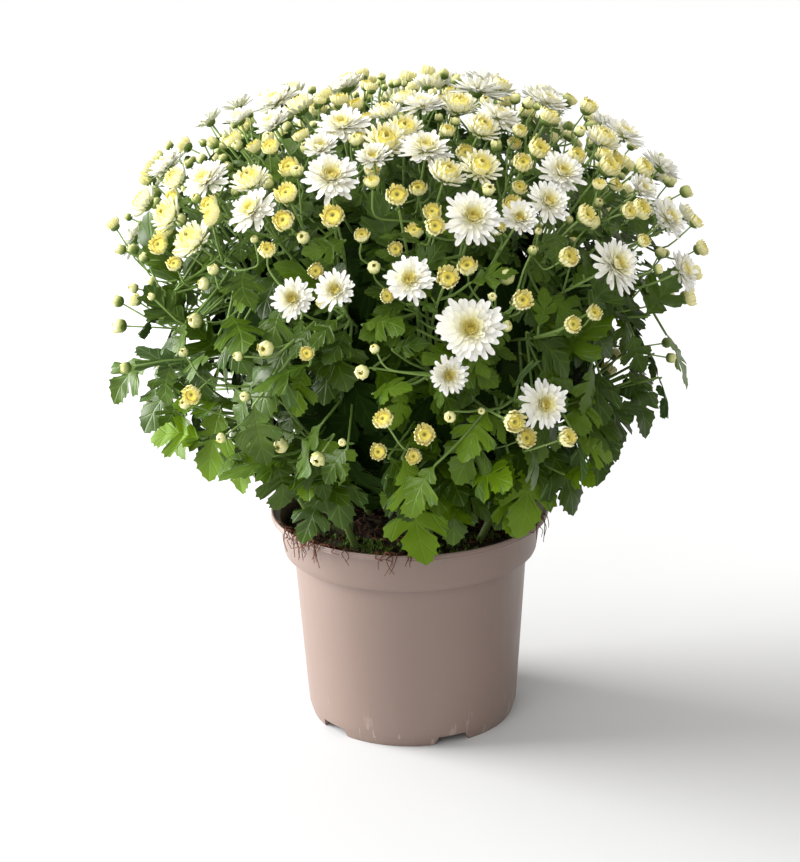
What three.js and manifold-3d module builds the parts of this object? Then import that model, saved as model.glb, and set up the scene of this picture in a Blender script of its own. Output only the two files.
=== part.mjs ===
// Pot chrysanthemum: a nursery pot filled with soil, twelve leafy stems that branch into a dense
// dome, and forty-six open double blooms on the tips of their stalks.
// Millimetres, +Z up. The origin is the middle of the pot's foot; azimuths turn from -Y towards +X.
import * as THREE from "three";
import { mergeVertices } from "three/addons/utils/BufferGeometryUtils.js";
import Module from "manifold-3d";

const wasm = await Module();
wasm.setup();

const radians = THREE.MathUtils.degToRad;
const degrees = THREE.MathUtils.radToDeg;

// ---- Driving dimensions -------------------------------------------------------------------------

const GAP = 0.35; // left between pieces that touch
const POT = {
  height: 149,
  rimRadius: 95,
  bandRadius: 90,
  bandFootRadius: 86.5,
  bandHeight: 29, // from the rim down to the band's lower edge
  bandTop: 6, // from the rim down to where the band widens into the lip
  lip: 4, // height of the lip
  lipWall: 1.6,
  wallTopRadius: 80, // just under the band
  wallFootRadius: 72.5,
  footRadius: 70,
  footHeight: 8, // of the slope between the foot and the wall
  footRing: [4.5, 6], // width of the foot ring below and above
  wall: 1.5,
  floorRise: 9,
  floorThick: 2,
  notches: 5,
  notchAzimuth: 21.5,
  notchHeight: 6.5,
  notchHalves: [13, 10], // half widths below and above
  notchDepth: 24,
  drainRadius: 5,
  drainInset: 16, // from the foot's outside to a drain hole's middle
  segments: 30,
};
const SOIL = {
  top: 138,
  crown: 5,
  crownRadii: [64, 40], // where the crown is half as high, and where it is level
  edgeDrop: 3,
  segments: 16,
  hole: 1.2, // left round each stem
};
const LUMPS = { height: 1.6, share: 0.6, waves: [0.11, 0.13], crossing: [0.07, 0.19] };
const CROWN = {
  middle: 300, // height of its widest level
  radius: 195, // of the surface that the heads' middles lie on
  rise: 135, // from the widest level to the top
  fall: 105, // from the widest level to where the heads end
  squareness: 2.5,
};
const FOLIAGE = { radius: 138, rise: 90, fall: 136, squareness: 3 }; // where the blades start
const CORE = { radius: 112, rise: 54, fall: 137, squareness: 3, bands: 6, segments: 12 };
const FAN = { apex: 20, level: 300 }; // the stems fan out from this height on the axis
const STEM = { base: 2.9, tip: 1.7, depth: 20, sides: 5, sway: 7, pieces: 4 };
const STEM_RINGS = [
  { count: 3, azimuth: 20, reach: 64, hub: 318 },
  { count: 9, azimuth: 8, reach: 148, hub: 228 },
];
const STALK = {
  base: 1.5,
  tip: 1.0,
  bud: 0.8,
  sway: 4,
  lift: 0.42, // how far below its head a stalk bends, over its span
  ends: { open: 0.15, cupped: 0.35 }, // below the head's middle, over its diameter
  margin: 4,
  pieces: 2,
  sides: 3,
};
const ROOTED = { share: 0.84, stalkDrop: 14, budDrop: 12, leafDrop: 2, skirtDrop: -8, margin: 2 };
const PETALS = 7; // in each layer of an open bloom
const HOLD = { steps: 20, share: 0.06 }; // how a point is brought back into its sector
const SEEDS = { heads: 500, stems: 10, buds: 300, leaves: 200 };
const HEADS = {
  facing: 232, // they look away from this height on the axis
  sway: 0.22,
  spare: 1.2, // left between two heads
  rounds: 24, // of pushing each other aside
  push: 0.52,
  margin: 3, // depth in the sector of their stem
  around: 1, // left round a half-open head or a bud
};
const BUD = {
  turns: 300,
  polar: 112,
  apart: 15,
  clear: 3, // to the heads
  margin: 1.2,
  most: 28,
  radius: [3.2, 5.4],
  share: [0.9, 1.04],
};
const LEAF = {
  thick: 0.9,
  clear: 3, // to the stalks and the other leaves
  potClear: 4, // to the rim, and a little more to the soil
  headClear: 2,
  margin: 1, // depth in the sector of its stem
  turns: 118,
  polar: 152,
  length: [44, 58],
  shorter: 14, // at the top of the bush
  arch: [0.3, 0.9],
  share: [0.92, 1.1], // of the foliage's reach, for the foot
  aside: 60, // degrees that its face turns aside at most
  limits: { outermost: 1.42, slope: 0.62 }, // of the foliage's reach, and of the waist
  firstTurn: 1.1, // radians that it turns aside at first
  outwards: 0.45,
  sideways: 0.8,
  upwards: 0.3, // at the top of the bush
  tries: 16,
  shrink: 0.02, // at each try
};
const SKIRT = {
  arch: 0.5,
  limits: { outermost: 1.6, slope: -1 },
  turnedBack: 0.65,
  shifts: [0, -3, 3, -6, 6, -10, 10, -14, 14],
  turning: 1.5, // of the heading, over the shift
};
const FACE = { up: 0.9, out: 0.6 }; // what a blade's face looks towards
const BAND = { half: 0.07, widening: 0.8 }; // of a blade, over its length
const WAIST = { reach: 80, height: 150 }; // outside this reach the bush's underside slopes up
// Points that leaves keep clear of: how many on a branch, and from which share of its length.
const POSTS = { stalk: [20, 0.05], bud: [12, 0.1], petiole: [12, 0.2] };
const GOLDEN = radians(137.508);

// Open blooms and half-open heads of the front and sides: azimuth, polar angle from the middle of
// the crown's widest level (both in degrees) and diameter.
const OPEN_HEADS = [
  [-19, 51, 33], [-28, 32, 31], [-60, 37, 23], [-81, 41, 21], [-53, 56, 30], [-34, 60, 29],
  [-30, 43, 22], [-9, 45, 22], [-129, 20, 24], [-78, 58, 26], [-101, 49, 21], [-117, 47, 21],
  [7, 42, 31], [22, 17, 27], [48, 32, 30], [15, 61, 33], [24, 62, 22], [32, 60, 26],
  [42, 54, 28], [89, 54, 27], [62, 63, 21], [68, 70, 26], [43, 74, 33], [65, 80, 25],
  [1, 72, 27], [-21, 76, 24], [-13, 74, 23], [11, 81, 37], [7, 89, 23], [28, 98, 29],
];
const CUPPED_HEADS = [
  [-74, 66, 18], [-51, 68, 19], [-92, 63, 14], [-41, 54, 18], [-29, 57, 15], [-26, 62, 15],
  [-6, 38, 20], [0, 33, 17], [43, 20, 18], [34, 35, 17], [21, 49, 18], [33, 50, 14],
  [42, 47, 15], [52, 50, 13], [72, 49, 18], [58, 56, 15], [57, 66, 15], [40, 64, 14],
  [7, 72, 15], [21, 77, 14], [19, 99, 15], [30, 83, 12], [121, 42, 17], [154, 17, 16],
];
// Heads that a spiral spreads over the rear, and between those of the front.
const FRONT = { left: -96, right: 84 };
const SPREAD_HEADS = [
  { front: false, open: 16, cupped: 18, turns: 110, polar: 98, apart: 30, seed: 401 },
  { front: true, open: 0, cupped: 14, turns: 170, polar: 80, apart: 25, seed: 402 },
];
const OPEN_SIZE = [23, 35];
const CUPPED_SIZE = [13, 19];

// Leaves of the skirt, which hang out below the heads: azimuth, height and reach of the blade's
// foot, length of the blade, its heading's azimuth, and how far it falls below the level (degrees).
const SKIRT_LEAVES = [
  [2, 197, 89, 54, 14, 53], [-27, 214, 88, 50, -16, 62], [-47, 184, 90, 36, -44, 44],
  [42, 209, 98, 60, -22, 52], [44, 228, 106, 50, -44, 10], [-14, 232, 90, 50, 34, 36],
  [19, 192, 90, 38, -4, 56], [-58, 226, 112, 50, -48, 66], [56, 212, 110, 50, 57, 52],
  [-70, 238, 130, 52, -34, 58], [30, 186, 88, 36, 24, 50], [-82, 251, 151, 46, -60, 38],
  [-89, 258, 171, 40, -64, 32], [-100, 246, 156, 46, -104, 40], [66, 232, 128, 48, 48, 58],
  [78, 249, 146, 46, 54, 56], [87, 272, 172, 42, 66, 52], [104, 252, 150, 48, 104, 50],
  [122, 240, 134, 50, 122, 60], [140, 226, 112, 50, 140, 62], [156, 240, 130, 50, 156, 60],
  [172, 220, 106, 50, 172, 62], [188, 238, 128, 50, 188, 62], [204, 222, 108, 50, 204, 62],
  [220, 240, 132, 50, 220, 56], [236, 226, 112, 50, 236, 62], [252, 246, 142, 48, 252, 50],
];

// Half of a blade's outline from foot to tip: share of the length, half width over length.
const BLADE = [
  [0, 0.03],
  [0.5, 0.43],
  [0.55, 0.12],
  [0.73, 0.25],
];
const BLADE_MIDDLES = [[0.2, 0.2], [0.85, 0.1]];

// ---- Vectors, draws and curves --------------------------------------------------------------------

const UP = new THREE.Vector3(0, 0, 1);
const vector = (x, y, z) => new THREE.Vector3(x, y, z);
// The point a * (1 - t) + b * t.
const between = (a, b, t) => a.clone().lerp(b, t);

// Direction seen from the axis: level at polar 90, straight up at polar 0.
function direction(azimuth, polar) {
  const a = radians(azimuth);
  const p = radians(polar);
  return vector(Math.sin(a) * Math.sin(p), -Math.cos(a) * Math.sin(p), Math.cos(p));
}

// Park and Miller's generator, so that each stem draws the same numbers every time.
const GENERATOR = { first: 7919, multiplier: 16807, modulus: 2147483647 };

function seeded(seed) {
  let state = GENERATOR.first * (seed + 1);
  const draw = (low, high) => {
    state = (state * GENERATOR.multiplier) % GENERATOR.modulus;
    return low + ((high - low) * state) / GENERATOR.modulus;
  };
  draw(0, 1);
  draw(0, 1);
  return draw;
}

// Point at t on the quadratic curve through [start, bend, end].
function curvePoint([start, bend, end], t) {
  return between(between(start, bend, t), between(bend, end, t), t);
}

// A branch is a run of straight pieces, knots on the quadratic curve through [start, bend, end].
function branchOf(curve, pieces, base, tip) {
  const knots = Array.from({ length: pieces + 1 }, (_, k) => curvePoint(curve, k / pieces));
  return { knots, base, tip };
}

// Point and direction of a branch at t, from 0 at its foot to 1 at its tip.
function branchPoint({ knots }, t) {
  const at = Math.min(t * (knots.length - 1), knots.length - 1.001);
  const k = Math.floor(at);
  return between(knots[k], knots[k + 1], at - k);
}

const CROWN_MIDDLE = vector(0, 0, CROWN.middle);

// Distance from the middle of the crown to the surface of a form (the crown or its core).
function reachOf(form, towards) {
  const across = Math.hypot(towards.x, towards.y) / form.radius;
  const along = Math.abs(towards.z) / (towards.z > 0 ? form.rise : form.fall);
  return (across ** form.squareness + along ** form.squareness) ** (-1 / form.squareness);
}

// How far out a point lies: 1 on the surface of the form.
function shareOf(form, point) {
  const out = point.clone().sub(CROWN_MIDDLE);
  const far = out.length();
  return far / reachOf(form, out.normalize());
}

// Directions spread evenly from the top down to a polar angle by the golden angle.
function spiral(turns, polar) {
  const depth = 1 - Math.cos(radians(polar));
  return Array.from({ length: turns }, (_, k) => {
    const height = 1 - (depth * (k + 0.5)) / turns;
    return direction(degrees(k * GOLDEN), degrees(Math.acos(height)));
  });
}

// ---- Stems' sectors -------------------------------------------------------------------------------

const FAN_APEX = vector(0, 0, FAN.apex);

const stems = STEM_RINGS.flatMap(({ count, azimuth, reach, hub }) =>
  Array.from({ length: count }, (_, k) => {
    const at = direction(azimuth + (360 * k) / count, 90).multiplyScalar(reach);
    const axis = at.setZ(FAN.level - FAN.apex).normalize();
    return { axis, hub };
  }),
);

// Depth of a point inside the sector of the stem, the cone of directions nearest to its axis.
function depthInSector(stem, point) {
  const from = point.clone().sub(FAN_APEX);
  let depth = Infinity;
  for (const other of stems) {
    if (other === stem) continue;
    const wall = stem.axis.clone().sub(other.axis).normalize();
    depth = Math.min(depth, from.dot(wall));
  }
  return depth;
}

function stemOf(point) {
  const from = point.clone().sub(FAN_APEX).normalize();
  return stems.reduce((best, s) => (s.axis.dot(from) > best.axis.dot(from) ? s : best));
}

// Moves a point towards the stem's axis until it lies deep enough in the sector.
function heldInSector(stem, point, margin) {
  const held = point.clone();
  for (let step = 0; step < HOLD.steps && depthInSector(stem, held) < margin; step++) {
    const along = held.clone().sub(FAN_APEX).dot(stem.axis);
    const onAxis = FAN_APEX.clone().addScaledVector(stem.axis, along);
    held.lerp(onAxis, HOLD.share);
  }
  return held;
}

// ---- Heads ----------------------------------------------------------------------------------------

function headAt(towards, diameter, open) {
  const middle = towards.clone().multiplyScalar(reachOf(CROWN, towards)).add(CROWN_MIDDLE);
  return { middle, diameter, open };
}

const sizeBetween = ([low, high], share) => low + (high - low) * share;

// Adds open blooms and half-open heads in turn, each where it stands apart from the others.
function spreadHeads(heads, rule) {
  const draw = seeded(rule.seed);
  let open = 0;
  let cupped = 0;
  for (const towards of spiral(rule.turns, rule.polar)) {
    const size = draw(0, 1);
    const azimuth = degrees(Math.atan2(towards.x, -towards.y));
    if ((azimuth > FRONT.left && azimuth < FRONT.right) !== rule.front) continue;
    const isOpen = open < rule.open && open * rule.cupped <= cupped * rule.open;
    if (!isOpen && cupped === rule.cupped) continue;
    const head = headAt(towards, sizeBetween(isOpen ? OPEN_SIZE : CUPPED_SIZE, size), isOpen);
    if (heads.some((other) => other.middle.distanceTo(head.middle) < rule.apart)) continue;
    heads.push(head);
    if (isOpen) open++;
    else cupped++;
  }
}

// Crowded heads push each other aside until they stand clear.
function jostle(heads) {
  for (let round = 0; round < HEADS.rounds; round++) {
    heads.forEach((a, i) => {
      for (const b of heads.slice(i + 1)) {
        const away = b.middle.clone().sub(a.middle);
        const short = (a.diameter + b.diameter) / 2 + HEADS.spare - away.length();
        if (short <= 0) continue;
        away.normalize().multiplyScalar(short * HEADS.push);
        b.middle.add(away);
        a.middle.sub(away);
      }
    });
  }
}

function makeHeads() {
  const heads = [
    ...OPEN_HEADS.map(([azimuth, polar, size]) => headAt(direction(azimuth, polar), size, true)),
    ...CUPPED_HEADS.map(([azimuth, polar, size]) => headAt(direction(azimuth, polar), size, false)),
  ];
  for (const rule of SPREAD_HEADS) spreadHeads(heads, rule);
  jostle(heads);
  const { sway } = HEADS;
  heads.forEach((head, i) => {
    const draw = seeded(SEEDS.heads + i);
    head.stem = stemOf(head.middle);
    const margin = head.open ? HEADS.margin : head.diameter / 2 + HEADS.around;
    head.middle = heldInSector(head.stem, head.middle, margin);
    const facing = head.middle.clone().sub(vector(0, 0, HEADS.facing)).normalize();
    facing.add(vector(draw(-sway, sway), draw(-sway, sway), draw(-sway / 2, sway)));
    head.facing = facing.normalize();
    head.turn = draw(0, 360);
  });
  return heads;
}

// ---- Stalks, buds and leaves ----------------------------------------------------------------------

function growMainStem(stem, draw) {
  const along = (height) =>
    FAN_APEX.clone().addScaledVector(stem.axis, (height - FAN.apex) / stem.axis.z);
  const start = along(SOIL.top - STEM.depth);
  const end = along(stem.hub);
  const sway = () => draw(-STEM.sway, STEM.sway);
  const bend = between(start, end, 0.5).add(vector(sway(), sway(), 0));
  return branchOf([start, bend, end], STEM.pieces, STEM.base, STEM.tip);
}

// Where a branch that reaches a point outside the core is rooted: inside it and a little lower.
function rootFor(stem, point, drop) {
  const towards = point.clone().sub(CROWN_MIDDLE).normalize();
  const root = towards.multiplyScalar(reachOf(CORE, towards) * ROOTED.share).add(CROWN_MIDDLE);
  root.z -= drop;
  return heldInSector(stem, root, ROOTED.margin);
}

function growStalk(stem, head, draw) {
  const start = rootFor(stem, head.middle, ROOTED.stalkDrop);
  const { open, cupped } = STALK.ends;
  const back = head.open ? open * head.diameter + GAP : cupped * head.diameter;
  const end = head.middle.clone().addScaledVector(head.facing, -back);
  const span = end.distanceTo(start);
  const bend = end.clone().addScaledVector(head.facing, -STALK.lift * span);
  const sway = () => draw(-STALK.sway, STALK.sway);
  bend.add(vector(sway(), sway(), sway()));
  const curve = [start, heldInSector(stem, bend, STALK.margin), end];
  return branchOf(curve, STALK.pieces, STALK.base, STALK.tip);
}

// Closed buds fill the places between the heads, each on a stalk of its own.
function growBuds(heads) {
  const draw = seeded(SEEDS.buds);
  const buds = [];
  for (const towards of spiral(BUD.turns, BUD.polar)) {
    const radius = draw(...BUD.radius);
    const share = draw(...BUD.share);
    const middle = towards.clone().multiplyScalar(reachOf(CROWN, towards) * share).add(CROWN_MIDDLE);
    const stem = stemOf(middle);
    const around = radius + BUD.clear;
    const clear = heads.every((h) => h.middle.distanceTo(middle) > h.diameter / 2 + around);
    const apart = buds.every((b) => b.middle.distanceTo(middle) > BUD.apart);
    if (!clear || !apart || depthInSector(stem, middle) < radius + BUD.margin) continue;
    buds.push({ stem, middle, radius, start: rootFor(stem, middle, ROOTED.budDrop) });
  }
  const every = buds.length / BUD.most;
  return buds.filter((_, k) => Math.floor(k / every) !== Math.floor((k - 1) / every));
}

// Where a place u along a blade lies: how far out it runs, and how far it drops, over its length.
function archOf({ arch }, u) {
  if (u <= 0) return [u, 0];
  return [Math.sin(arch * u) / arch, (1 - Math.cos(arch * u)) / arch];
}

// A point of a blade: u runs along it (0 at the foot, 1 at the tip) and v across, over its length.
function leafPoint(leaf, u, v) {
  const [run, drop] = archOf(leaf, u);
  const point = leaf.foot.clone().addScaledVector(leaf.along, run * leaf.length);
  point.addScaledVector(leaf.face, -drop * leaf.length);
  return point.addScaledVector(leaf.side, v * leaf.length);
}

// True where a point lies on the blade or within a distance of it.
function nearBlade(leaf, point, clear) {
  const from = point.clone().sub(leaf.foot);
  const run = from.dot(leaf.along) / leaf.length;
  if (run < 0 || run > 1) return false;
  const drop = archOf(leaf, run)[1];
  const off = from.dot(leaf.face) / leaf.length + drop;
  const across = Math.abs(from.dot(leaf.side)) / leaf.length;
  const half = BAND.half + BAND.widening * Math.min(run, 1 - run);
  return Math.abs(off) * leaf.length < clear && across < half;
}

// The face of a blade looks up and outwards, and an angle in degrees turns it aside.
function makeLeaf(foot, along, length, arch, aside) {
  const out = vector(foot.x, foot.y, 0).normalize().applyAxisAngle(UP, radians(aside));
  const face = UP.clone().multiplyScalar(FACE.up).addScaledVector(out, FACE.out);
  const side = along.clone().cross(face).normalize();
  return { foot, along, side, face: side.clone().cross(along), length, arch };
}

// True where a point of a leaf stands clear of the pot and the soil.
function clearOfPot(point) {
  const reach = Math.hypot(point.x, point.y);
  if (reach > POT.rimRadius + 2 * LEAF.potClear) return true;
  const aboveSoil = reach < POT.rimRadius - 4 * LEAF.potClear;
  return point.z > LEAF.potClear + (aboveSoil ? SOIL.top + SOIL.crown + 1 : POT.height);
}

// True where a point lies inside the waist or above the underside that slopes up from it.
function aboveWaist(point, slope) {
  const beyond = Math.hypot(point.x, point.y) - WAIST.reach;
  return beyond < 0 || point.z > WAIST.height + slope * beyond;
}

function probesOf(leaf) {
  const pairs = [...BLADE, ...BLADE_MIDDLES];
  const edges = pairs.flatMap(([u, v]) => [leafPoint(leaf, u, v), leafPoint(leaf, u, -v)]);
  return [...edges, ...[0.25, 0.5, 0.75, 1].map((u) => leafPoint(leaf, u, 0))];
}

// A leaf fits where it lies in its sector, under the heads, and crosses no stalk and no other leaf.
function leafFits(stem, leaf, heads, limits) {
  leaf.probes = probesOf(leaf);
  const stands = leaf.probes.every(
    (p) =>
      depthInSector(stem, p) > LEAF.margin &&
      clearOfPot(p) &&
      aboveWaist(p, limits.slope) &&
      shareOf(FOLIAGE, p) < limits.outermost &&
      heads.every((h) => h.middle.distanceTo(p) > h.diameter / 2 + LEAF.headClear),
  );
  if (!stands || stem.posts.some(({ at, clear }) => nearBlade(leaf, at, clear))) return false;
  return stem.leaves.every(
    (other) =>
      !leaf.probes.some((p) => nearBlade(other, p, LEAF.clear)) &&
      !other.probes.some((p) => nearBlade(leaf, p, LEAF.clear)),
  );
}

// Points along a branch that leaves keep clear of, from a share of its length on.
function addPosts(stem, branch, [count, from]) {
  for (let k = 0; k < count; k++) {
    const t = from + ((1 - from) * (k + 0.5)) / count;
    stem.posts.push({ at: branchPoint(branch, t), clear: LEAF.clear });
  }
}

// One leaf rooted in the core, turned on until it fits: low ones hang, high ones rise.
function growLeaf(towards, heads, draw) {
  const length = draw(...LEAF.length) - LEAF.shorter * Math.max(towards.z, 0);
  const arch = draw(...LEAF.arch);
  const firstTurn = draw(-LEAF.firstTurn, LEAF.firstTurn);
  const reach = reachOf(FOLIAGE, towards) * draw(...LEAF.share);
  const aside = draw(-LEAF.aside, LEAF.aside);
  const down = UP.clone().multiplyScalar(-1).addScaledVector(towards, towards.z).normalize();
  const side = down.clone().cross(towards);
  const place = towards.clone().multiplyScalar(reach).add(CROWN_MIDDLE);
  const stem = stemOf(place);
  const foot = heldInSector(stem, place, HEADS.margin);
  for (let attempt = 0; attempt < LEAF.tries; attempt++) {
    const turn = firstTurn + attempt * GOLDEN;
    const along = towards.clone().multiplyScalar(LEAF.outwards);
    along.addScaledVector(down, Math.cos(turn) * LEAF.sideways);
    along.addScaledVector(side, Math.sin(turn) * LEAF.sideways);
    along.addScaledVector(UP, LEAF.upwards * towards.z).normalize();
    const leaf = makeLeaf(foot, along, length * (1 - LEAF.shrink * attempt), arch, aside);
    if (!leafFits(stem, leaf, heads, LEAF.limits)) continue;
    leaf.root = rootFor(stem, foot, ROOTED.leafDrop);
    stem.leaves.push(leaf);
    return;
  }
}

// A skirt leaf hangs at the end of a long petiole. Those of the front turn their faces forwards.
function growSkirtLeaf([azimuth, height, reach, length, heading, fall], heads) {
  const inFront = azimuth > FRONT.left && azimuth < FRONT.right;
  const aside = inFront ? -SKIRT.turnedBack * azimuth : 0;
  for (const shift of SKIRT.shifts) {
    const foot = direction(azimuth + shift, 90).multiplyScalar(reach).setZ(height);
    const stem = stemOf(foot);
    const along = direction(heading + SKIRT.turning * shift, 90 + fall);
    const leaf = makeLeaf(foot, along, length, SKIRT.arch, aside);
    if (depthInSector(stem, foot) < HEADS.margin) continue;
    if (!leafFits(stem, leaf, heads, SKIRT.limits)) continue;
    leaf.root = rootFor(stem, foot, ROOTED.skirtDrop);
    stem.leaves.push(leaf);
    addPosts(stem, { knots: [leaf.root, foot] }, POSTS.petiole);
    return;
  }
}

function growPlant() {
  const heads = makeHeads();
  const buds = growBuds(heads);
  stems.forEach((stem, i) => {
    const draw = seeded(SEEDS.stems + i);
    stem.main = growMainStem(stem, draw);
    stem.heads = heads.filter((h) => h.stem === stem).sort((a, b) => a.middle.z - b.middle.z);
    stem.buds = buds.filter((b) => b.stem === stem);
    stem.leaves = [];
    stem.posts = [];
    for (const head of stem.heads) {
      head.stalk = growStalk(stem, head, draw);
      addPosts(stem, head.stalk, POSTS.stalk);
    }
    for (const { start, middle, radius } of stem.buds) {
      addPosts(stem, { knots: [start, middle] }, POSTS.bud);
      stem.posts.push({ at: middle, clear: radius + HEADS.around });
    }
  });
  for (const leaf of SKIRT_LEAVES) growSkirtLeaf(leaf, heads);
  const draw = seeded(SEEDS.leaves);
  for (const towards of spiral(LEAF.turns, LEAF.polar)) growLeaf(towards, heads, draw);
  return heads;
}

// ---- Solids ---------------------------------------------------------------------------------------

function closedSolid(points, faces) {
  const vertProperties = new Float32Array(points.flatMap((p) => [p.x, p.y, p.z]));
  const triVerts = new Uint32Array(faces.flat());
  return new wasm.Manifold(new wasm.Mesh({ numProp: 3, vertProperties, triVerts }));
}

function solidOf(geometry) {
  const bare = geometry.index ? geometry.clone() : geometry;
  bare.deleteAttribute("normal");
  bare.deleteAttribute("uv");
  const { attributes, index } = mergeVertices(bare, 1e-3);
  const mesh = { numProp: 3, vertProperties: attributes.position.array, triVerts: index.array };
  return new wasm.Manifold(new wasm.Mesh({ ...mesh, triVerts: new Uint32Array(mesh.triVerts) }));
}

// Quads between two rings of the same count, each ring given by the number of its first point.
function band(lower, upper, count) {
  return Array.from({ length: count }, (_, k) => {
    const next = (k + 1) % count;
    return [
      [lower + k, lower + next, upper + next],
      [lower + k, upper + next, upper + k],
    ];
  }).flat();
}

// A tube along a run of knots, each ring as wide as its radius says. An end of radius 0 is a point.
function tube(knots, radii, sides) {
  const points = [];
  const rings = [];
  const last = knots.length - 1;
  let across = vector(0.3, 0.9, 0.1);
  knots.forEach((knot, k) => {
    const tangent = knots[Math.min(k + 1, last)].clone().sub(knots[Math.max(k - 1, 0)]).normalize();
    across = across.clone().addScaledVector(tangent, -across.dot(tangent)).normalize();
    const other = tangent.clone().cross(across);
    rings.push(points.length);
    for (let side = 0; side < (radii[k] > 0 ? sides : 1); side++) {
      const turn = (2 * Math.PI * side) / sides;
      const point = knot.clone().addScaledVector(across, Math.cos(turn) * radii[k]);
      points.push(point.addScaledVector(other, Math.sin(turn) * radii[k]));
    }
  });
  const faces = [];
  for (let k = 0; k < last; k++) {
    for (let side = 0; side < sides; side++) {
      const next = (side + 1) % sides;
      const [low, high] = [rings[k], rings[k + 1]];
      if (radii[k] > 0) faces.push([low + side, low + next, radii[k + 1] > 0 ? high + next : high]);
      if (radii[k + 1] > 0) faces.push([radii[k] > 0 ? low + side : low, high + next, high + side]);
    }
  }
  for (let side = 1; side < sides - 1; side++) {
    const top = rings[last];
    if (radii[0] > 0) faces.push([0, side + 1, side]);
    if (radii[last] > 0) faces.push([top, top + side, top + side + 1]);
  }
  return closedSolid(points, faces);
}

function branchSolid({ knots, base, tip }, sides) {
  const radii = knots.map((_, k) => base + ((tip - base) * k) / (knots.length - 1));
  return tube(knots, radii, sides);
}

// A turned form about an axis: rings of [radius, height] in order from the lower to the upper point.
// A ring may hold two radii and two heights, for the tips and the notches between them.
function turned(middle, facing, turn, sides, foot, rings, top) {
  const across = facing.clone().cross(vector(0.31, 0.17, 0.94)).normalize();
  const other = facing.clone().cross(across);
  const place = (radius, height, angle) =>
    middle
      .clone()
      .addScaledVector(facing, height)
      .addScaledVector(across, Math.cos(angle) * radius)
      .addScaledVector(other, Math.sin(angle) * radius);
  const points = [place(0, foot, 0)];
  for (const ring of rings) {
    for (let k = 0; k < sides; k++) {
      const tip = ring.length === 2 || (k + ring[4]) % 2 === 0;
      const angle = radians(turn) + (2 * Math.PI * k) / sides;
      points.push(place(tip ? ring[0] : ring[2], tip ? ring[1] : ring[3], angle));
    }
  }
  points.push(place(0, top, 0));
  const faces = [];
  const last = points.length - 1;
  for (let k = 0; k < sides; k++) {
    const next = (k + 1) % sides;
    faces.push([0, 1 + next, 1 + k]);
    faces.push([last, last - sides + k, last - sides + next]);
  }
  for (let ring = 0; ring < rings.length - 1; ring++) {
    faces.push(...band(1 + ring * sides, 1 + (ring + 1) * sides, sides));
  }
  return closedSolid(points, faces);
}

// Two layers of petals round a sunk eye. A ring is [tip radius, height, notch radius, height, shift].
function bloomSolid({ middle, facing, diameter, turn }, grow) {
  const r = diameter / 2;
  const rings = [
    [r + grow, 0.16 * r, 0.76 * r + grow, 0.06 * r, 0],
    [0.5 * r + grow, 0.2 * r + grow, 0.5 * r + grow, 0.12 * r + grow, 0],
    [0.64 * r + grow, 0.5 * r, 0.46 * r + grow, 0.42 * r, 1],
  ];
  return turned(middle, facing, turn, 2 * PETALS, -0.3 * r - 2 * grow, rings, 0.3 * r + grow);
}

function cuppedSolid({ middle, facing, diameter, turn }) {
  const r = diameter / 2;
  const rings = [
    [r, 0.3 * r],
    [0.74 * r, 0.62 * r],
  ];
  return turned(middle, facing, turn, 5, -0.75 * r, rings, 0.35 * r);
}

// A closed bud and its stalk are one tube that swells and closes.
function budSolid({ middle, radius, start }) {
  const facing = middle.clone().sub(start).normalize();
  const neck = middle.clone().addScaledVector(facing, -radius);
  const top = middle.clone().addScaledVector(facing, 0.9 * radius);
  return tube([start, neck, middle, top], [STALK.bud, STALK.bud, radius, 0], 4);
}

// The plate from a petiole's root to the blade's tip, split alike on both faces.
function leafSolid(leaf) {
  const middles = [leaf.root, ...BLADE.flatMap(([u, v]) => [leafPoint(leaf, u, -v), leafPoint(leaf, u, v)])];
  middles.push(leafPoint(leaf, 1, 0));
  const half = leaf.face.clone().multiplyScalar(LEAF.thick / 2);
  const count = middles.length;
  const tip = count - 1;
  const plate = [[0, 2, 1]];
  for (let left = 1; left < tip - 2; left += 2) {
    plate.push([left, left + 1, left + 3], [left, left + 3, left + 2]);
  }
  plate.push([tip - 2, tip - 1, tip]);
  const rightSide = BLADE.map((_, k) => 2 * k + 2);
  const leftSide = BLADE.map((_, k) => 2 * k + 1).reverse();
  const outline = [0, ...rightSide, tip, ...leftSide];
  const faces = [...plate, ...plate.map(([a, b, c]) => [count + a, count + c, count + b])];
  outline.forEach((a, k) => {
    const b = outline[(k + 1) % outline.length];
    faces.push([a, count + b, b], [a, count + a, count + b]);
  });
  const upper = middles.map((p) => p.clone().add(half));
  const lower = middles.map((p) => p.clone().sub(half));
  return closedSolid([...upper, ...lower], faces);
}

function largestPiece(solid) {
  const pieces = solid.decompose();
  return pieces.reduce((best, piece) => (piece.volume() > best.volume() ? piece : best));
}

// The dense inside of the bush: one faceted form, of which each stem holds its own sector.
function coreSolid() {
  const rings = [];
  for (let ring = 1; ring < CORE.bands; ring++) {
    const towards = direction(0, 180 - (180 * ring) / CORE.bands);
    const reach = reachOf(CORE, towards);
    rings.push([-towards.y * reach, towards.z * reach]);
  }
  return turned(CROWN_MIDDLE, UP, 0, CORE.segments, -CORE.fall, rings, CORE.rise);
}

function sectorOf(stem, solid) {
  const size = 1200;
  return stems.reduce((left, other) => {
    if (other === stem) return left;
    const wall = stem.axis.clone().sub(other.axis).normalize();
    const beyond = new THREE.BoxGeometry(size, size, size);
    beyond.translate(0, 0, GAP / 2 - size / 2);
    beyond.applyQuaternion(new THREE.Quaternion().setFromUnitVectors(UP, wall));
    beyond.translate(0, 0, FAN.apex);
    return left.subtract(solidOf(beyond));
  }, solid);
}

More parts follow.
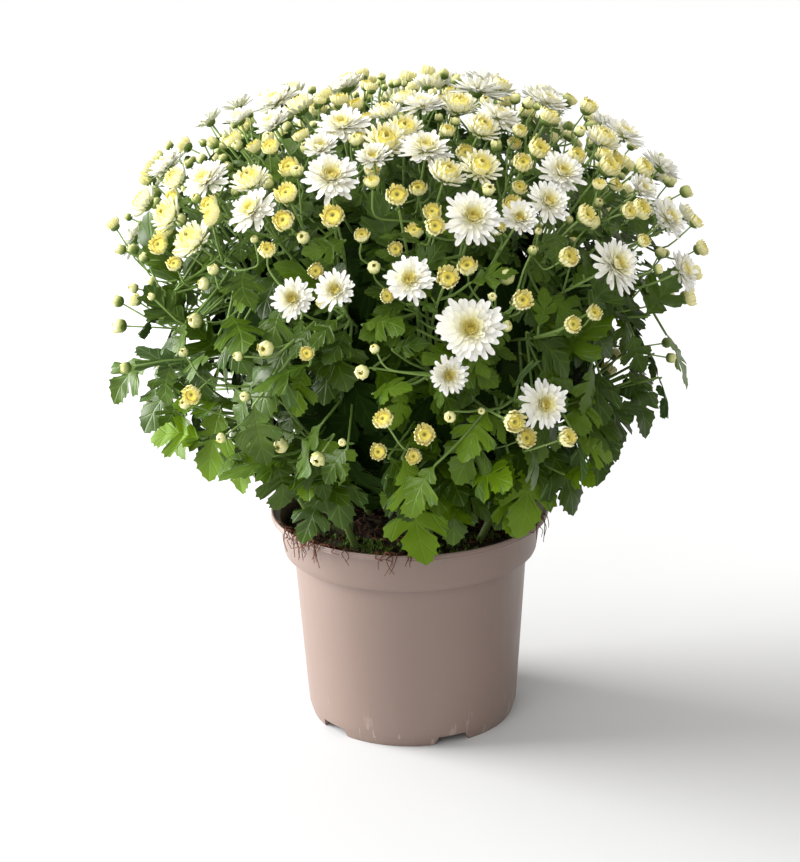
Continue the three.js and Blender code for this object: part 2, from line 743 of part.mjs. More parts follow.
function stemSolid(stem, blooms, core) {
  const parts = [branchSolid(stem.main, STEM.sides), sectorOf(stem, core)];
  for (const head of stem.heads) {
    parts.push(branchSolid(head.stalk, STALK.sides));
    if (!head.open) parts.push(cuppedSolid(head));
  }
  for (const bud of stem.buds) parts.push(budSolid(bud));
  for (const leaf of stem.leaves) parts.push(leafSolid(leaf));
  const grown = wasm.Manifold.union(parts);
  const cutters = blooms.filter((b) => b.solid.intersect(grown).volume() > 0);
  if (!cutters.length) return largestPiece(grown);
  return largestPiece(grown.subtract(wasm.Manifold.union(cutters.map((b) => b.cutter))));
}

// ---- Pot and soil ---------------------------------------------------------------------------------

function lathe(outline, segments) {
  const profile = outline.map(([radius, height]) => new THREE.Vector2(radius, height));
  const geometry = new THREE.LatheGeometry(profile, segments);
  return geometry.rotateX(Math.PI / 2);
}

// Radius of the wall's outside below the band.
function wallRadius(height) {
  const share = (height - POT.footHeight) / (POT.height - POT.bandHeight - POT.footHeight);
  return POT.wallFootRadius + (POT.wallTopRadius - POT.wallFootRadius) * share;
}

function potSolid() {
  const { height, wall, rimRadius, bandRadius, bandFootRadius, footRadius } = POT;
  const bandFoot = height - POT.bandHeight;
  const floorTop = POT.floorRise + POT.floorThick;
  const outline = [
    [0, POT.floorRise],
    [footRadius - POT.footRing[1], POT.floorRise],
    [footRadius - POT.footRing[0], 0],
    [footRadius, 0],
    [POT.wallFootRadius, POT.footHeight],
    [wallRadius(bandFoot), bandFoot],
    [bandFootRadius, bandFoot],
    [bandRadius, height - POT.bandTop],
    [rimRadius, height - POT.lip],
    [rimRadius, height],
    [rimRadius - POT.lipWall, height],
    [bandRadius - wall, height - POT.bandTop + 1],
    [bandFootRadius - wall, bandFoot + wall],
    [wallRadius(bandFoot) - wall, bandFoot + wall],
    [wallRadius(floorTop) - wall, floorTop],
    [0, floorTop],
  ];
  let pot = solidOf(lathe(outline, POT.segments));
  const [low, high] = POT.notchHalves;
  const notch = new THREE.Shape();
  notch.moveTo(-low, -1);
  notch.lineTo(low, -1);
  notch.lineTo(high, POT.notchHeight);
  notch.lineTo(-high, POT.notchHeight);
  const depth = POT.notchDepth;
  const drainLength = 4 * POT.floorThick;
  const drainRise = POT.floorRise + POT.floorThick / 2;
  for (let k = 0; k < POT.notches; k++) {
    const azimuth = POT.notchAzimuth + (360 * k) / POT.notches;
    const prism = new THREE.ExtrudeGeometry(notch, { depth, bevelEnabled: false });
    prism.rotateX(Math.PI / 2).translate(0, depth / 2 - footRadius, 0).rotateZ(radians(azimuth));
    pot = pot.subtract(solidOf(prism));
    const drain = new THREE.CylinderGeometry(POT.drainRadius, POT.drainRadius, drainLength, 6);
    drain.rotateX(Math.PI / 2).translate(0, POT.drainInset - footRadius, drainRise);
    pot = pot.subtract(solidOf(drain.rotateZ(radians(azimuth))));
  }
  return pot;
}

// Height of the soil's lumps at a place.
function soilLump(x, y) {
  const { height, share, waves, crossing } = LUMPS;
  const broad = Math.sin(x * waves[0] + 1) * Math.cos(y * waves[1]);
  return height * (broad + share * Math.sin(x * crossing[0] - y * crossing[1]));
}

function soilSolid() {
  const { top, crown, crownRadii } = SOIL;
  const bandFoot = POT.height - POT.bandHeight;
  const floorTop = POT.floorRise + POT.floorThick + GAP;
  const inside = (height) => wallRadius(height) - POT.wall - GAP;
  const ledge = bandFoot + POT.wall + GAP;
  const edge = POT.bandFootRadius - POT.wall - GAP;
  const outline = [
    [0, floorTop],
    [inside(floorTop) - 0.4, floorTop],
    [inside(bandFoot) - 0.4, ledge],
    [edge - 0.6, ledge],
    [edge, top - SOIL.edgeDrop],
    [crownRadii[0], top + crown / 2],
    [crownRadii[1], top + crown],
    [0, top + crown],
  ];
  const geometry = lathe(outline, SOIL.segments);
  const position = geometry.getAttribute("position");
  for (let k = 0; k < position.count; k++) {
    if (position.getZ(k) < top) continue;
    position.setZ(k, position.getZ(k) + soilLump(position.getX(k), position.getY(k)));
  }
  const holes = stems.map((stem) => {
    const [foot, next] = stem.main.knots;
    const down = foot.clone().sub(next).normalize();
    const radius = STEM.base + SOIL.hole;
    return tube([foot.clone().add(down), next], [radius, radius], 4);
  });
  return solidOf(geometry).subtract(wasm.Manifold.union(holes));
}

// ---- Group ----------------------------------------------------------------------------------------

const finish = (color, roughness) =>
  new THREE.MeshStandardMaterial({ color, roughness, metalness: 0, flatShading: true });
const PLASTIC = finish(0xa8958c, 0.6);
const PEAT = finish(0x2e221a, 0.95);
const GREEN = finish(0x3f6f2c, 0.7);
const PETAL = finish(0xf6f3e4, 0.75);

function meshOf(name, solid, material) {
  const { numProp, vertProperties, triVerts } = solid.getMesh();
  const geometry = new THREE.BufferGeometry();
  geometry.setAttribute("position", new THREE.BufferAttribute(vertProperties, numProp));
  geometry.setIndex(new THREE.BufferAttribute(triVerts, 1));
  geometry.computeVertexNormals();
  const mesh = new THREE.Mesh(geometry, material);
  mesh.name = name;
  return mesh;
}

const numbered = (word, k) => `${word}_${String(k + 1).padStart(2, "0")}`;

const heads = growPlant();
const blooms = heads
  .filter((head) => head.open)
  .map((head) => ({ solid: bloomSolid(head, 0), cutter: bloomSolid(head, GAP) }));

const group = new THREE.Group();
group.add(meshOf("pot", potSolid(), PLASTIC));
group.add(meshOf("soil", soilSolid(), PEAT));
const core = coreSolid();
stems.forEach((stem, k) => {
  group.add(meshOf(numbered("leafy_stem", k), stemSolid(stem, blooms, core), GREEN));
});
blooms.forEach(({ solid }, k) => group.add(meshOf(numbered("bloom", k), solid, PETAL)));

export default group;
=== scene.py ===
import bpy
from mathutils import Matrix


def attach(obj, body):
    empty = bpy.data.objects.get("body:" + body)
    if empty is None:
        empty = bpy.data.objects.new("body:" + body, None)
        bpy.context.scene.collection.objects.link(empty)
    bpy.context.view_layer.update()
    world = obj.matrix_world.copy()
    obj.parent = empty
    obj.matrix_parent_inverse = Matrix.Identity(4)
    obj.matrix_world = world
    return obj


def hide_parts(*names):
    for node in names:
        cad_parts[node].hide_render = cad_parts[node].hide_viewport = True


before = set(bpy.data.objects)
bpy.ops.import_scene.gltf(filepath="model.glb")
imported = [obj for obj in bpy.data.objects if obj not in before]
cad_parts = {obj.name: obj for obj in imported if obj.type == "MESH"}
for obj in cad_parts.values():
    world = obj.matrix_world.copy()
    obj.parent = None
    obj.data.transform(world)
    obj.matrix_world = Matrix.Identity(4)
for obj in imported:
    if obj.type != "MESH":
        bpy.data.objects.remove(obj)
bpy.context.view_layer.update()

import math

import bmesh
import bpy
import numpy as np
from mathutils import Matrix

# A chrysanthemum in a nursery pot. Lengths are in millimetres and angles in degrees, until a Pile
# becomes a mesh in metres. Azimuth 0 points at the camera, and 90 to its right.


class Values(dict):
    """Named values that are read and set as attributes."""

    __getattr__, __setattr__ = dict.__getitem__, dict.__setitem__


# ---- The plant's numbers, the same as in the part's source ----

GAP = 0.35  # left between pieces that touch
POT = Values(height=149, rim_radius=95, foot_radius=70, drain_radius=5)
NOTCHES = Values(count=5, azimuth=21.5, height=6.5)
SOIL = Values(top=138, crown=5)
LUMPS = Values(height=1.6, share=0.6, waves=(0.11, 0.13), crossing=(0.07, 0.19))  # waves of the soil
# Squared-off balls round one middle: the heads stand on the crown, the blades start on the foliage,
# and the stalks leave the core.
CROWN = Values(middle=300, radius=195, rise=135, fall=105, squareness=2.5)
FOLIAGE = Values(radius=138, rise=90, fall=136, squareness=3)
CORE = Values(radius=112, rise=54, fall=137, squareness=3)
FAN = Values(apex=20, level=300)  # the stems fan out from the apex and are spaced out at this level
STEM = Values(base=2.9, tip=1.7, depth=20, sway=7, seed=10)
STEM_RINGS = [(3, 20, 64, 318), (9, 8, 148, 228)]  # how many, azimuth, reach, height of the hub
STALK = Values(sway=4, lift=0.42, open_back=0.15, cupped_back=0.35, margin=4)
ROOTED = Values(share=0.84, stalk_drop=14, bud_drop=12, leaf_drop=2, skirt_drop=-8, margin=2)
HELD = Values(steps=20, step=0.06)  # how a point is moved back into its stem's sector
# Heads face away from the facing height on the axis.
HEADS = Values(seed=500, facing=232, sway=0.22, spare=1.2, rounds=24, push=0.52, margin=3)
BUD = Values(seed=300, turns=300, polar=112, apart=15, most=28, head_gap=3, wall_gap=1.2)
BUD |= dict(radius=(3.2, 5.4), share=(0.9, 1.04))
LEAF = Values(seed=200, turns=118, polar=152, length=(44, 58), shorter=14, share=(0.92, 1.1))
LEAF |= dict(arch=(0.3, 0.9), aside=60, turn=1.1, outward=0.45, spread=0.8, lift=0.3, tries=16, shrink=0.02)
LEAF |= dict(spacing=3, pot_clear=4, head_clear=2, wall_clear=1, outermost=1.42, slope=0.62)
SKIRT = Values(arch=0.5, turned_back=0.65, aside_kept=0.4, turn=1.5, outermost=1.6, slope=-1)
SKIRT |= dict(shifts=(0, -3, 3, -6, 6, -10, 10, -14, 14))
WAIST = Values(reach=80, height=150)  # no blade hangs below the slope that begins here
POSTS = Values(stalk=(20, 0.05), bud=(12, 0.1), leaf=(12, 0.2))  # how many, and where they begin
FRONT = Values(left=-96, right=84)  # azimuths that the photograph shows
SPREAD_HEADS = [
    Values(front=False, open=16, cupped=18, turns=110, polar=98, apart=30, seed=401),
    Values(front=True, open=0, cupped=14, turns=170, polar=80, apart=25, seed=402),
]
OPEN_SIZE, CUPPED_SIZE = (23, 35), (13, 19)

# Azimuth, polar angle and diameter of each head that the photograph shows.
OPEN_HEADS = [
    (-19, 51, 33), (-28, 32, 31), (-60, 37, 23), (-81, 41, 21), (-53, 56, 30), (-34, 60, 29),
    (-30, 43, 22), (-9, 45, 22), (-129, 20, 24), (-78, 58, 26), (-101, 49, 21), (-117, 47, 21),
    (7, 42, 31), (22, 17, 27), (48, 32, 30), (15, 61, 33), (24, 62, 22), (32, 60, 26),
    (42, 54, 28), (89, 54, 27), (62, 63, 21), (68, 70, 26), (43, 74, 33), (65, 80, 25),
    (1, 72, 27), (-21, 76, 24), (-13, 74, 23), (11, 81, 37), (7, 89, 23), (28, 98, 29),
]
CUPPED_HEADS = [
    (-74, 66, 18), (-51, 68, 19), (-92, 63, 14), (-41, 54, 18), (-29, 57, 15), (-26, 62, 15),
    (-6, 38, 20), (0, 33, 17), (43, 20, 18), (34, 35, 17), (21, 49, 18), (33, 50, 14),
    (42, 47, 15), (52, 50, 13), (72, 49, 18), (58, 56, 15), (57, 66, 15), (40, 64, 14),
    (7, 72, 15), (21, 77, 14), (19, 99, 15), (30, 83, 12), (121, 42, 17), (154, 17, 16),
]

# Azimuth, height and reach of each hanging leaf's foot, then its length, heading and fall.
SKIRT_LEAVES = [
    (2, 197, 89, 54, 14, 53), (-27, 214, 88, 50, -16, 62), (-47, 184, 90, 36, -44, 44),
    (42, 209, 98, 60, -22, 52), (44, 228, 106, 50, -44, 10), (-14, 232, 90, 50, 34, 36),
    (19, 192, 90, 38, -4, 56), (-58, 226, 112, 50, -48, 66), (56, 212, 110, 50, 57, 52),
    (-70, 238, 130, 52, -34, 58), (30, 186, 88, 36, 24, 50), (-82, 251, 151, 46, -60, 38),
    (-89, 258, 171, 40, -64, 32), (-100, 246, 156, 46, -104, 40), (66, 232, 128, 48, 48, 58),
    (78, 249, 146, 46, 54, 56), (87, 272, 172, 42, 66, 52), (104, 252, 150, 48, 104, 50),
    (122, 240, 134, 50, 122, 60), (140, 226, 112, 50, 140, 62), (156, 240, 130, 50, 156, 60),
    (172, 220, 106, 50, 172, 62), (188, 238, 128, 50, 188, 62), (204, 222, 108, 50, 204, 62),
    (220, 240, 132, 50, 220, 56), (236, 226, 112, 50, 236, 62), (252, 246, 142, 48, 252, 50),
]

# ---- Vectors, draws and curves ----

UP = np.array([0.0, 0.0, 1.0])
SKEW = np.array([0.31, 0.17, 0.94])
MIDDLE = UP * CROWN.middle
APEX = UP * FAN.apex
GOLDEN = math.radians(137.508)
ROUND = 6.3


def unit(v):
    return v / math.sqrt(float(v @ v))


def frame_of(facing):
    """Two directions that are square to the facing one and to each other."""
    across = unit(np.cross(facing, SKEW))
    return across, np.cross(facing, across)


def direction(azimuth, polar):
    a, p = math.radians(azimuth), math.radians(polar)
    return np.array([math.sin(a) * math.sin(p), -math.cos(a) * math.sin(p), math.cos(p)])


def place_at(azimuth, reach, height):
    place = direction(azimuth, 90) * reach
    place[2] = height
    return place


def azimuth_of(towards):
    return math.degrees(math.atan2(towards[0], -towards[1]))


def is_in_front(azimuth):
    return FRONT.left < azimuth < FRONT.right


def seeded(seed):
    """Park and Miller's generator, so that each run draws the same numbers."""
    prime = 2147483647
    state = 7919 * (seed + 1)

    def draw(low, high):
        nonlocal state
        state = state * 16807 % prime
        return low + (high - low) * state / prime

    draw(0, 1)
    draw(0, 1)
    return draw


def drawn_vector(draw, size):
    return np.array([draw(-size, size) for _ in range(3)])


def curve_point(curve, t):
    start, bend, end = curve
    a = start + (bend - start) * t
    b = bend + (end - bend) * t
    return a + (b - a) * t


def knots_on(curve, pieces):
    return np.array([curve_point(curve, k / pieces) for k in range(pieces + 1)])


def point_on(knots, t):
    at = min(t * (len(knots) - 1), len(knots) - 1.001)
    k = int(at)
    return knots[k] + (knots[k + 1] - knots[k]) * (at - k)


def reach_of(form, towards):
    """How far a squared-off ball reaches in one or more directions."""
    across = np.hypot(towards[..., 0], towards[..., 1]) / form.radius
    along = np.abs(towards[..., 2]) / np.where(towards[..., 2] > 0, form.rise, form.fall)
    power = form.squareness
    return (across**power + along**power) ** (-1 / power)


def shares_of(form, points):
    """How far out the points are, as shares of the form's reach."""
    out = points - MIDDLE
    far = np.linalg.norm(out, axis=1)
    return far / reach_of(form, out / far[:, None])


def place_on(form, towards, share=1.0):
    return towards * (reach_of(form, towards) * share) + MIDDLE


def spiral(turns, polar):
    """Directions spread evenly from straight up to the polar angle."""
    depth = 1 - math.cos(math.radians(polar))
    return [
        direction(math.degrees(k * GOLDEN), math.degrees(math.acos(1 - depth * (k + 0.5) / turns)))
        for k in range(turns)
    ]


def down_and_side(towards):
    """The directions down and along the surface that faces the given way."""
    down = unit(towards * towards[2] - UP)
    return down, np.cross(down, towards)


def between(a, b, turn, size=1.0):
    return a * (math.cos(turn) * size) + b * (math.sin(turn) * size)


# ---- Stems' sectors: each stem fills its own part of the bush ----

stems = []
for count, azimuth, reach, hub in STEM_RINGS:
    for k in range(count):
        axis = unit(place_at(azimuth + 360 * k / count, reach, FAN.level - FAN.apex))
        stems.append(Values(axis=axis, hub=hub))
for stem in stems:
    stem.walls = np.array([unit(stem.axis - o.axis) for o in stems if o is not stem])
AXES = np.array([stem.axis for stem in stems])


def depths_in_sector(stem, points):
    """Distances from the stem's walls to its points, less than 0 outside them."""
    return (points - APEX) @ stem.walls.T


def stem_of(point):
    return stems[int(np.argmax(AXES @ unit(point - APEX)))]


def held_in_sector(stem, point, margin):
    """The point, moved towards the stem's axis until it is clear of the walls."""
    held = point.copy()
    for _ in range(HELD.steps):
        if np.min(depths_in_sector(stem, held)) >= margin:
            break
        on_axis = APEX + stem.axis * float((held - APEX) @ stem.axis)
        held = held + (on_axis - held) * HELD.step
    return held


# ---- Heads, stalks and buds ----


def head_at(towards, diameter, is_open):
    return Values(middle=place_on(CROWN, towards), diameter=diameter, open=is_open)


def spread_heads(heads, rule):
    """Adds heads where the photograph shows none, open and cupped ones in turn."""
    draw = seeded(rule.seed)
    opened = cupped = 0
    for towards in spiral(rule.turns, rule.polar):
        share = draw(0, 1)
        if is_in_front(azimuth_of(towards)) != rule.front:
            continue
        is_open = opened < rule.open and opened * rule.cupped <= cupped * rule.open
        if not is_open and cupped == rule.cupped:
            continue
        low, high = OPEN_SIZE if is_open else CUPPED_SIZE
        head = head_at(towards, low + (high - low) * share, is_open)
        if any(math.dist(o.middle, head.middle) < rule.apart for o in heads):
            continue
        heads.append(head)
        opened += is_open
        cupped += not is_open


def jostle(heads):
    """Pushes heads apart until none touches another."""
    for _ in range(HEADS.rounds):
        for i, a in enumerate(heads):
            for b in heads[i + 1 :]:
                short = (a.diameter + b.diameter) / 2 + HEADS.spare
                short -= math.dist(a.middle, b.middle)
                if short > 0:
                    away = unit(b.middle - a.middle) * (short * HEADS.push)
                    b.middle = b.middle + away
                    a.middle = a.middle - away


def make_heads():
    heads = [head_at(direction(a, p), size, True) for a, p, size in OPEN_HEADS]
    heads += [head_at(direction(a, p), size, False) for a, p, size in CUPPED_HEADS]
    for rule in SPREAD_HEADS:
        spread_heads(heads, rule)
    jostle(heads)
    sway = HEADS.sway
    for i, head in enumerate(heads):
        draw = seeded(HEADS.seed + i)
        head.stem = stem_of(head.middle)
        margin = HEADS.margin if head.open else head.diameter / 2 + 1
        head.middle = held_in_sector(head.stem, head.middle, margin)
        facing = unit(head.middle - UP * HEADS.facing)
        facing = facing + np.array([draw(-sway, sway), draw(-sway, sway), draw(-sway / 2, sway)])
        head |= dict(facing=unit(facing), turn=draw(0, 360), seed=HEADS.seed + i)
    return heads


def root_for(stem, point, drop):
    """Where a stalk or leaf that ends at the point leaves the core of the bush."""
    root = place_on(CORE, unit(point - MIDDLE), ROOTED.share)
    root[2] -= drop
    return held_in_sector(stem, root, ROOTED.margin)


def main_stem(stem, draw):
    def along(height):
        return APEX + stem.axis * ((height - FAN.apex) / stem.axis[2])

    start, end = along(SOIL.top - STEM.depth), along(stem.hub)
    sway = STEM.sway
    return [start, (start + end) / 2 + np.array([draw(-sway, sway), draw(-sway, sway), 0]), end]


def stalk_of(stem, head, draw):
    start = root_for(stem, head.middle, ROOTED.stalk_drop)
    size = head.diameter
    back = STALK.open_back * size + GAP if head.open else STALK.cupped_back * size
    end = head.middle - head.facing * back
    bend = end - head.facing * (STALK.lift * math.dist(end, start))
    bend = bend + drawn_vector(draw, STALK.sway)
    return [start, held_in_sector(stem, bend, STALK.margin), end]


def grow_buds(heads):
    """Closed buds in the places between the heads, thinned out evenly to the most there may be."""
    draw = seeded(BUD.seed)
    buds = []
    for towards in spiral(BUD.turns, BUD.polar):
        radius = draw(*BUD.radius)
        middle = place_on(CROWN, towards, draw(*BUD.share))
        stem = stem_of(middle)
        near = radius + BUD.head_gap
        if any(math.dist(h.middle, middle) <= h.diameter / 2 + near for h in heads):
            continue
        if any(math.dist(b.middle, middle) <= BUD.apart for b in buds):
            continue
        if np.min(depths_in_sector(stem, middle)) < radius + BUD.wall_gap:
            continue
        start = root_for(stem, middle, ROOTED.bud_drop)
        buds.append(Values(stem=stem, middle=middle, radius=radius, start=start))
    every = len(buds) / BUD.most
    return [b for k, b in enumerate(buds) if math.floor(k / every) != math.floor((k - 1) / every)]


heads = make_heads()
buds = grow_buds(heads)
HEAD_MIDDLES = np.array([head.middle for head in heads])
HEAD_SIZES = np.array([head.diameter for head in heads])

# ---- Leaves ----

PROBE_PAIRS = [(0, 0.03), (0.5, 0.43), (0.55, 0.12), (0.73, 0.25), (0.2, 0.2), (0.85, 0.1)]
MIDRIB_PROBES = [0.25, 0.5, 0.75, 1]
PROBES_U = np.array([u for u, _ in PROBE_PAIRS for _ in (1, -1)] + MIDRIB_PROBES)
PROBES_V = np.array([sign * v for _, v in PROBE_PAIRS for sign in (1, -1)] + [0] * len(MIDRIB_PROBES))
BLADE_HALF = Values(foot=0.07, widening=0.8)
BLADE_SIDE = Values(up=0.9, out=0.6)


def arch_of(arch, u):
    """How far an arching blade runs and drops on its way to u, over its length."""
    u = np.asarray(u, float)
    run = np.where(u <= 0, u, np.sin(arch * u) / arch)
    return run, np.where(u <= 0, 0, (1 - np.cos(arch * u)) / arch)


def leaf_points(leaf, u, v):
    """Places on a blade: u runs from its foot to its tip, and v to its side."""
    run, drop = arch_of(leaf.arch, u)
    run, drop, v = (np.asarray(a, float)[..., None] * leaf.length for a in (run, drop, v))
    return leaf.foot + leaf.along * run - leaf.face * drop + leaf.side * v


def near_blade(leaf, points, clear):
    """Which points are within the clear distance of a blade."""
    out = points - leaf.foot
    run = out @ leaf.along / leaf.length
    off = np.abs(out @ leaf.face / leaf.length + arch_of(leaf.arch, run)[1]) * leaf.length
    across = np.abs(out @ leaf.side) / leaf.length
    wide = across < BLADE_HALF.foot + BLADE_HALF.widening * np.minimum(run, 1 - run)
    return (run >= 0) & (run <= 1) & (off < clear) & wide


def make_leaf(foot, along, length, arch, aside=0.0):
    """A blade that faces up and out, turned aside by some degrees."""
    outward = direction(azimuth_of(foot) + aside, 90)
    side = unit(np.cross(along, UP * BLADE_SIDE.up + outward * BLADE_SIDE.out))
    return Values(foot=foot, along=along, side=side, face=np.cross(side, along), length=length, arch=arch)


def clears_pot(probes, slope):
    """Whether a blade stays off the soil and rim, and over the slope round the plant's waist."""
    clear = LEAF.pot_clear
    reach, height = np.hypot(probes[:, 0], probes[:, 1]), probes[:, 2]
    inside = reach < POT.rim_radius - 4 * clear
    floor = np.where(inside, SOIL.top + SOIL.crown + 1, POT.height) + clear
    if np.any((reach <= POT.rim_radius + 2 * clear) & (height <= floor)):
        return False
    beyond = reach - WAIST.reach
    return not np.any((beyond >= 0) & (height <= WAIST.height + slope * beyond))


def clears_neighbours(stem, leaf, clear):
    """Whether a blade stays off the stem's stalks, buds and other blades."""
    if np.any(near_blade(leaf, stem.posts, stem.post_clear * clear / LEAF.spacing)):
        return False
    return not any(
        np.any(near_blade(other, leaf.probes, clear)) or np.any(near_blade(leaf, other.probes, clear))
        for other in stem.leaves
    )


def leaf_fits(stem, leaf, outermost, clear, slope=LEAF.slope):
    probes = leaf.probes = leaf_points(leaf, PROBES_U, PROBES_V)
    if not clears_pot(probes, slope) or np.max(shares_of(FOLIAGE, probes)) >= outermost:
        return False
    if np.min(depths_in_sector(stem, probes)) <= LEAF.wall_clear:
        return False
    apart = np.linalg.norm(probes[:, None] - HEAD_MIDDLES[None], axis=2)
    if np.any(apart <= HEAD_SIZES[None] / 2 + LEAF.head_clear):
        return False
    return clears_neighbours(stem, leaf, clear)


def add_posts(stem, points, clear=LEAF.spacing):
    """Adds points of a stalk or bud that blades stay clear of."""
    stem.posts = np.vstack([stem.posts, points])
    stem.post_clear = np.append(stem.post_clear, np.full(len(points), float(clear)))


def add_posts_along(stem, knots, count, start):
    shares = [start + (1 - start) * (k + 0.5) / count for k in range(count)]
    add_posts(stem, np.array([point_on(knots, share) for share in shares]))


def grow_leaf(towards, draw, rule):
    """A leaf at one place of the foliage, turned by the golden angle until it fits."""
    length = draw(*rule.length) - LEAF.shorter * max(towards[2], 0)
    arch = draw(*LEAF.arch)
    first_turn = draw(-LEAF.turn, LEAF.turn)
    place = place_on(FOLIAGE, towards, draw(*rule.share))
    aside = draw(-LEAF.aside, LEAF.aside)
    azimuth = azimuth_of(towards)
    if "turned" in rule and is_in_front(azimuth):
        aside = SKIRT.aside_kept * aside - SKIRT.turned_back * azimuth
    down, side = down_and_side(towards)
    stem = stem_of(place)
    foot = held_in_sector(stem, place, HEADS.margin)
    for attempt in range(LEAF.tries):
        turned = between(down, side, first_turn + attempt * GOLDEN, LEAF.spread)
        along = unit(towards * LEAF.outward + turned + UP * (LEAF.lift * towards[2]))
        leaf = make_leaf(foot, along, length * (1 - LEAF.shrink * attempt), arch, aside)
        if leaf_fits(stem, leaf, rule.outermost, rule.spacing):
            leaf |= dict(root=root_for(stem, foot, ROOTED.leaf_drop), fine=rule.fine)
            stem.leaves.append(leaf)
            return


def grow_skirt_leaf(azimuth, height, reach, length, heading, fall):
    """A hanging leaf at its own place, moved aside until it fits."""
    aside = -SKIRT.turned_back * azimuth if is_in_front(azimuth) else 0
    for shift in SKIRT.shifts:
        foot = place_at(azimuth + shift, reach, height)
        stem = stem_of(foot)
        along = direction(heading + SKIRT.turn * shift, 90 + fall)
        leaf = make_leaf(foot, along, length, SKIRT.arch, aside)
        if np.min(depths_in_sector(stem, foot)) < HEADS.margin:
            continue
        if leaf_fits(stem, leaf, SKIRT.outermost, LEAF.spacing, SKIRT.slope):
            leaf |= dict(root=root_for(stem, foot, ROOTED.skirt_drop), fine=0)
            stem.leaves.append(leaf)
            add_posts_along(stem, [leaf.root, foot], *POSTS.leaf)
            return


for i, stem in enumerate(stems):
    draw = seeded(STEM.seed + i)
    stem.main = main_stem(stem, draw)
    stem.heads = sorted((h for h in heads if h.stem is stem), key=lambda h: h.middle[2])
    stem.buds = [b for b in buds if b.stem is stem]
    stem |= dict(leaves=[], posts=np.zeros((0, 3)), post_clear=np.zeros(0))
    for head in stem.heads:
        head.stalk = stalk_of(stem, head, draw)
        add_posts_along(stem, knots_on(head.stalk, 2), *POSTS.stalk)
    for bud in stem.buds:
        add_posts_along(stem, [bud.start, bud.middle], *POSTS.bud)
        add_posts(stem, bud.middle[None], bud.radius + 1)
for spec in SKIRT_LEAVES:
    grow_skirt_leaf(*spec)
draw = seeded(LEAF.seed)
for towards in spiral(LEAF.turns, LEAF.polar):
    grow_leaf(towards, draw, Values(LEAF, fine=0))
SOURCE_LEAVES = [len(stem.leaves) for stem in stems]

# ---- Leaves that only the fine model has: they fill the bush between those of the source ----
# fine is the blade's template: 0 for the finest, 3 for the plainest. A near leaf is joined to its
# own root, and a deep one lies in the dark inside of the bush, has no stalk and is coloured with painted
# shade.

FILL_RULES = [
    Values(seed=201, turns=150, polar=150, length=(28, 44), share=(0.98, 1.26), fine=1),
    Values(seed=202, turns=230, polar=160, length=(36, 52), share=(0.66, 0.9), fine=2),
    Values(seed=203, turns=300, polar=128, length=(28, 44), share=(0.9, 1.22), fine=2),
]
FILL_RULES[0] |= dict(outermost=1.44, spacing=2)
FILL_RULES[1] |= dict(outermost=1.38, spacing=1.4)
FILL_RULES[2] |= dict(outermost=1.42, spacing=1, least_polar=58, turned=True)
SHOOT_LEAVES = [(0.16, 38), (0.36, 31), (0.56, 24), (0.74, 17), (0.88, 13)]  # share of the stalk, length
SHOOT = Values(seed=900, slip=0.06, scale=(0.8, 1.2), lean=(0.2, 0.9), ahead=0.05, full_width=30)
MAIN_LEAVES = Values(count=13, start=0.2, lean=(-0.15, 0.3), length=(32, 50))
TURNED = Values(tries=7, off=0.2, shrink=0.04, arch=0.3, arch_step=0.09, outermost=1.5, spacing=1.2)
TURNED |= dict(large=20)
INSIDE = Values(seed=204, turns=400, polar=172, length=(44, 62), share=(0.72, 1.04), lean=(0.1, 0.7))
INSIDE |= dict(turn=(-0.9, 0.9), arch=0.6, past_wall=22, pot_clear=4)
SMALL = Values(seed=600, turns=800, polar=116, cups=0.52, cup=(4.6, 7.4), bud=(2.4, 4.4))
SMALL |= dict(share=(0.86, 1.03), gap=0.8, facing=202, sway=0.4, first_seed=2000, near_axis=0.8)
SMALL_CHANCE = ([60, 74, 92, 116], [1, 0.5, 0.2, 0.1])  # polar angles, and the share kept there


def turn_until_it_fits(stem, foot, away, lean, length, turn, narrow=1):
    """A leaf that stands off a branch, turned round it by the golden angle until it fits."""
    across, other = frame_of(away)
    for attempt in range(TURNED.tries):
        out = between(across, other, turn + attempt * GOLDEN)
        start = foot + out * TURNED.off * length
        size, arch = length * (1 - TURNED.shrink * attempt), TURNED.arch + TURNED.arch_step * attempt
        leaf = make_leaf(start, unit(out + away * lean), size, arch)
        if leaf_fits(stem, leaf, TURNED.outermost, TURNED.spacing):
            leaf |= dict(root=foot, near=True, narrow=narrow, fine=2 if length > TURNED.large else 3)
            stem.leaves.append(leaf)
            return


def grow_on_branches(stem, draw):
    """Small leaves up the stalk of each head, and larger ones round the main stem."""
    for head in stem.heads:
        for share, length in SHOOT_LEAVES:
            share += draw(-SHOOT.slip, SHOOT.slip)
            narrow = min(1, length / SHOOT.full_width)
            length *= draw(*SHOOT.scale)
            foot = curve_point(head.stalk, share)
            ahead = unit(curve_point(head.stalk, share + SHOOT.ahead) - foot)
            turn_until_it_fits(stem, foot, ahead, draw(*SHOOT.lean), length, draw(0, ROUND), narrow)
    count, start = MAIN_LEAVES.count, MAIN_LEAVES.start
    for k in range(count):
        foot = curve_point(stem.main, start + (1 - start) * k / count)
        lean, length = draw(*MAIN_LEAVES.lean), draw(*MAIN_LEAVES.length)
        turn_until_it_fits(stem, foot, stem.axis, lean, length, draw(0, ROUND))


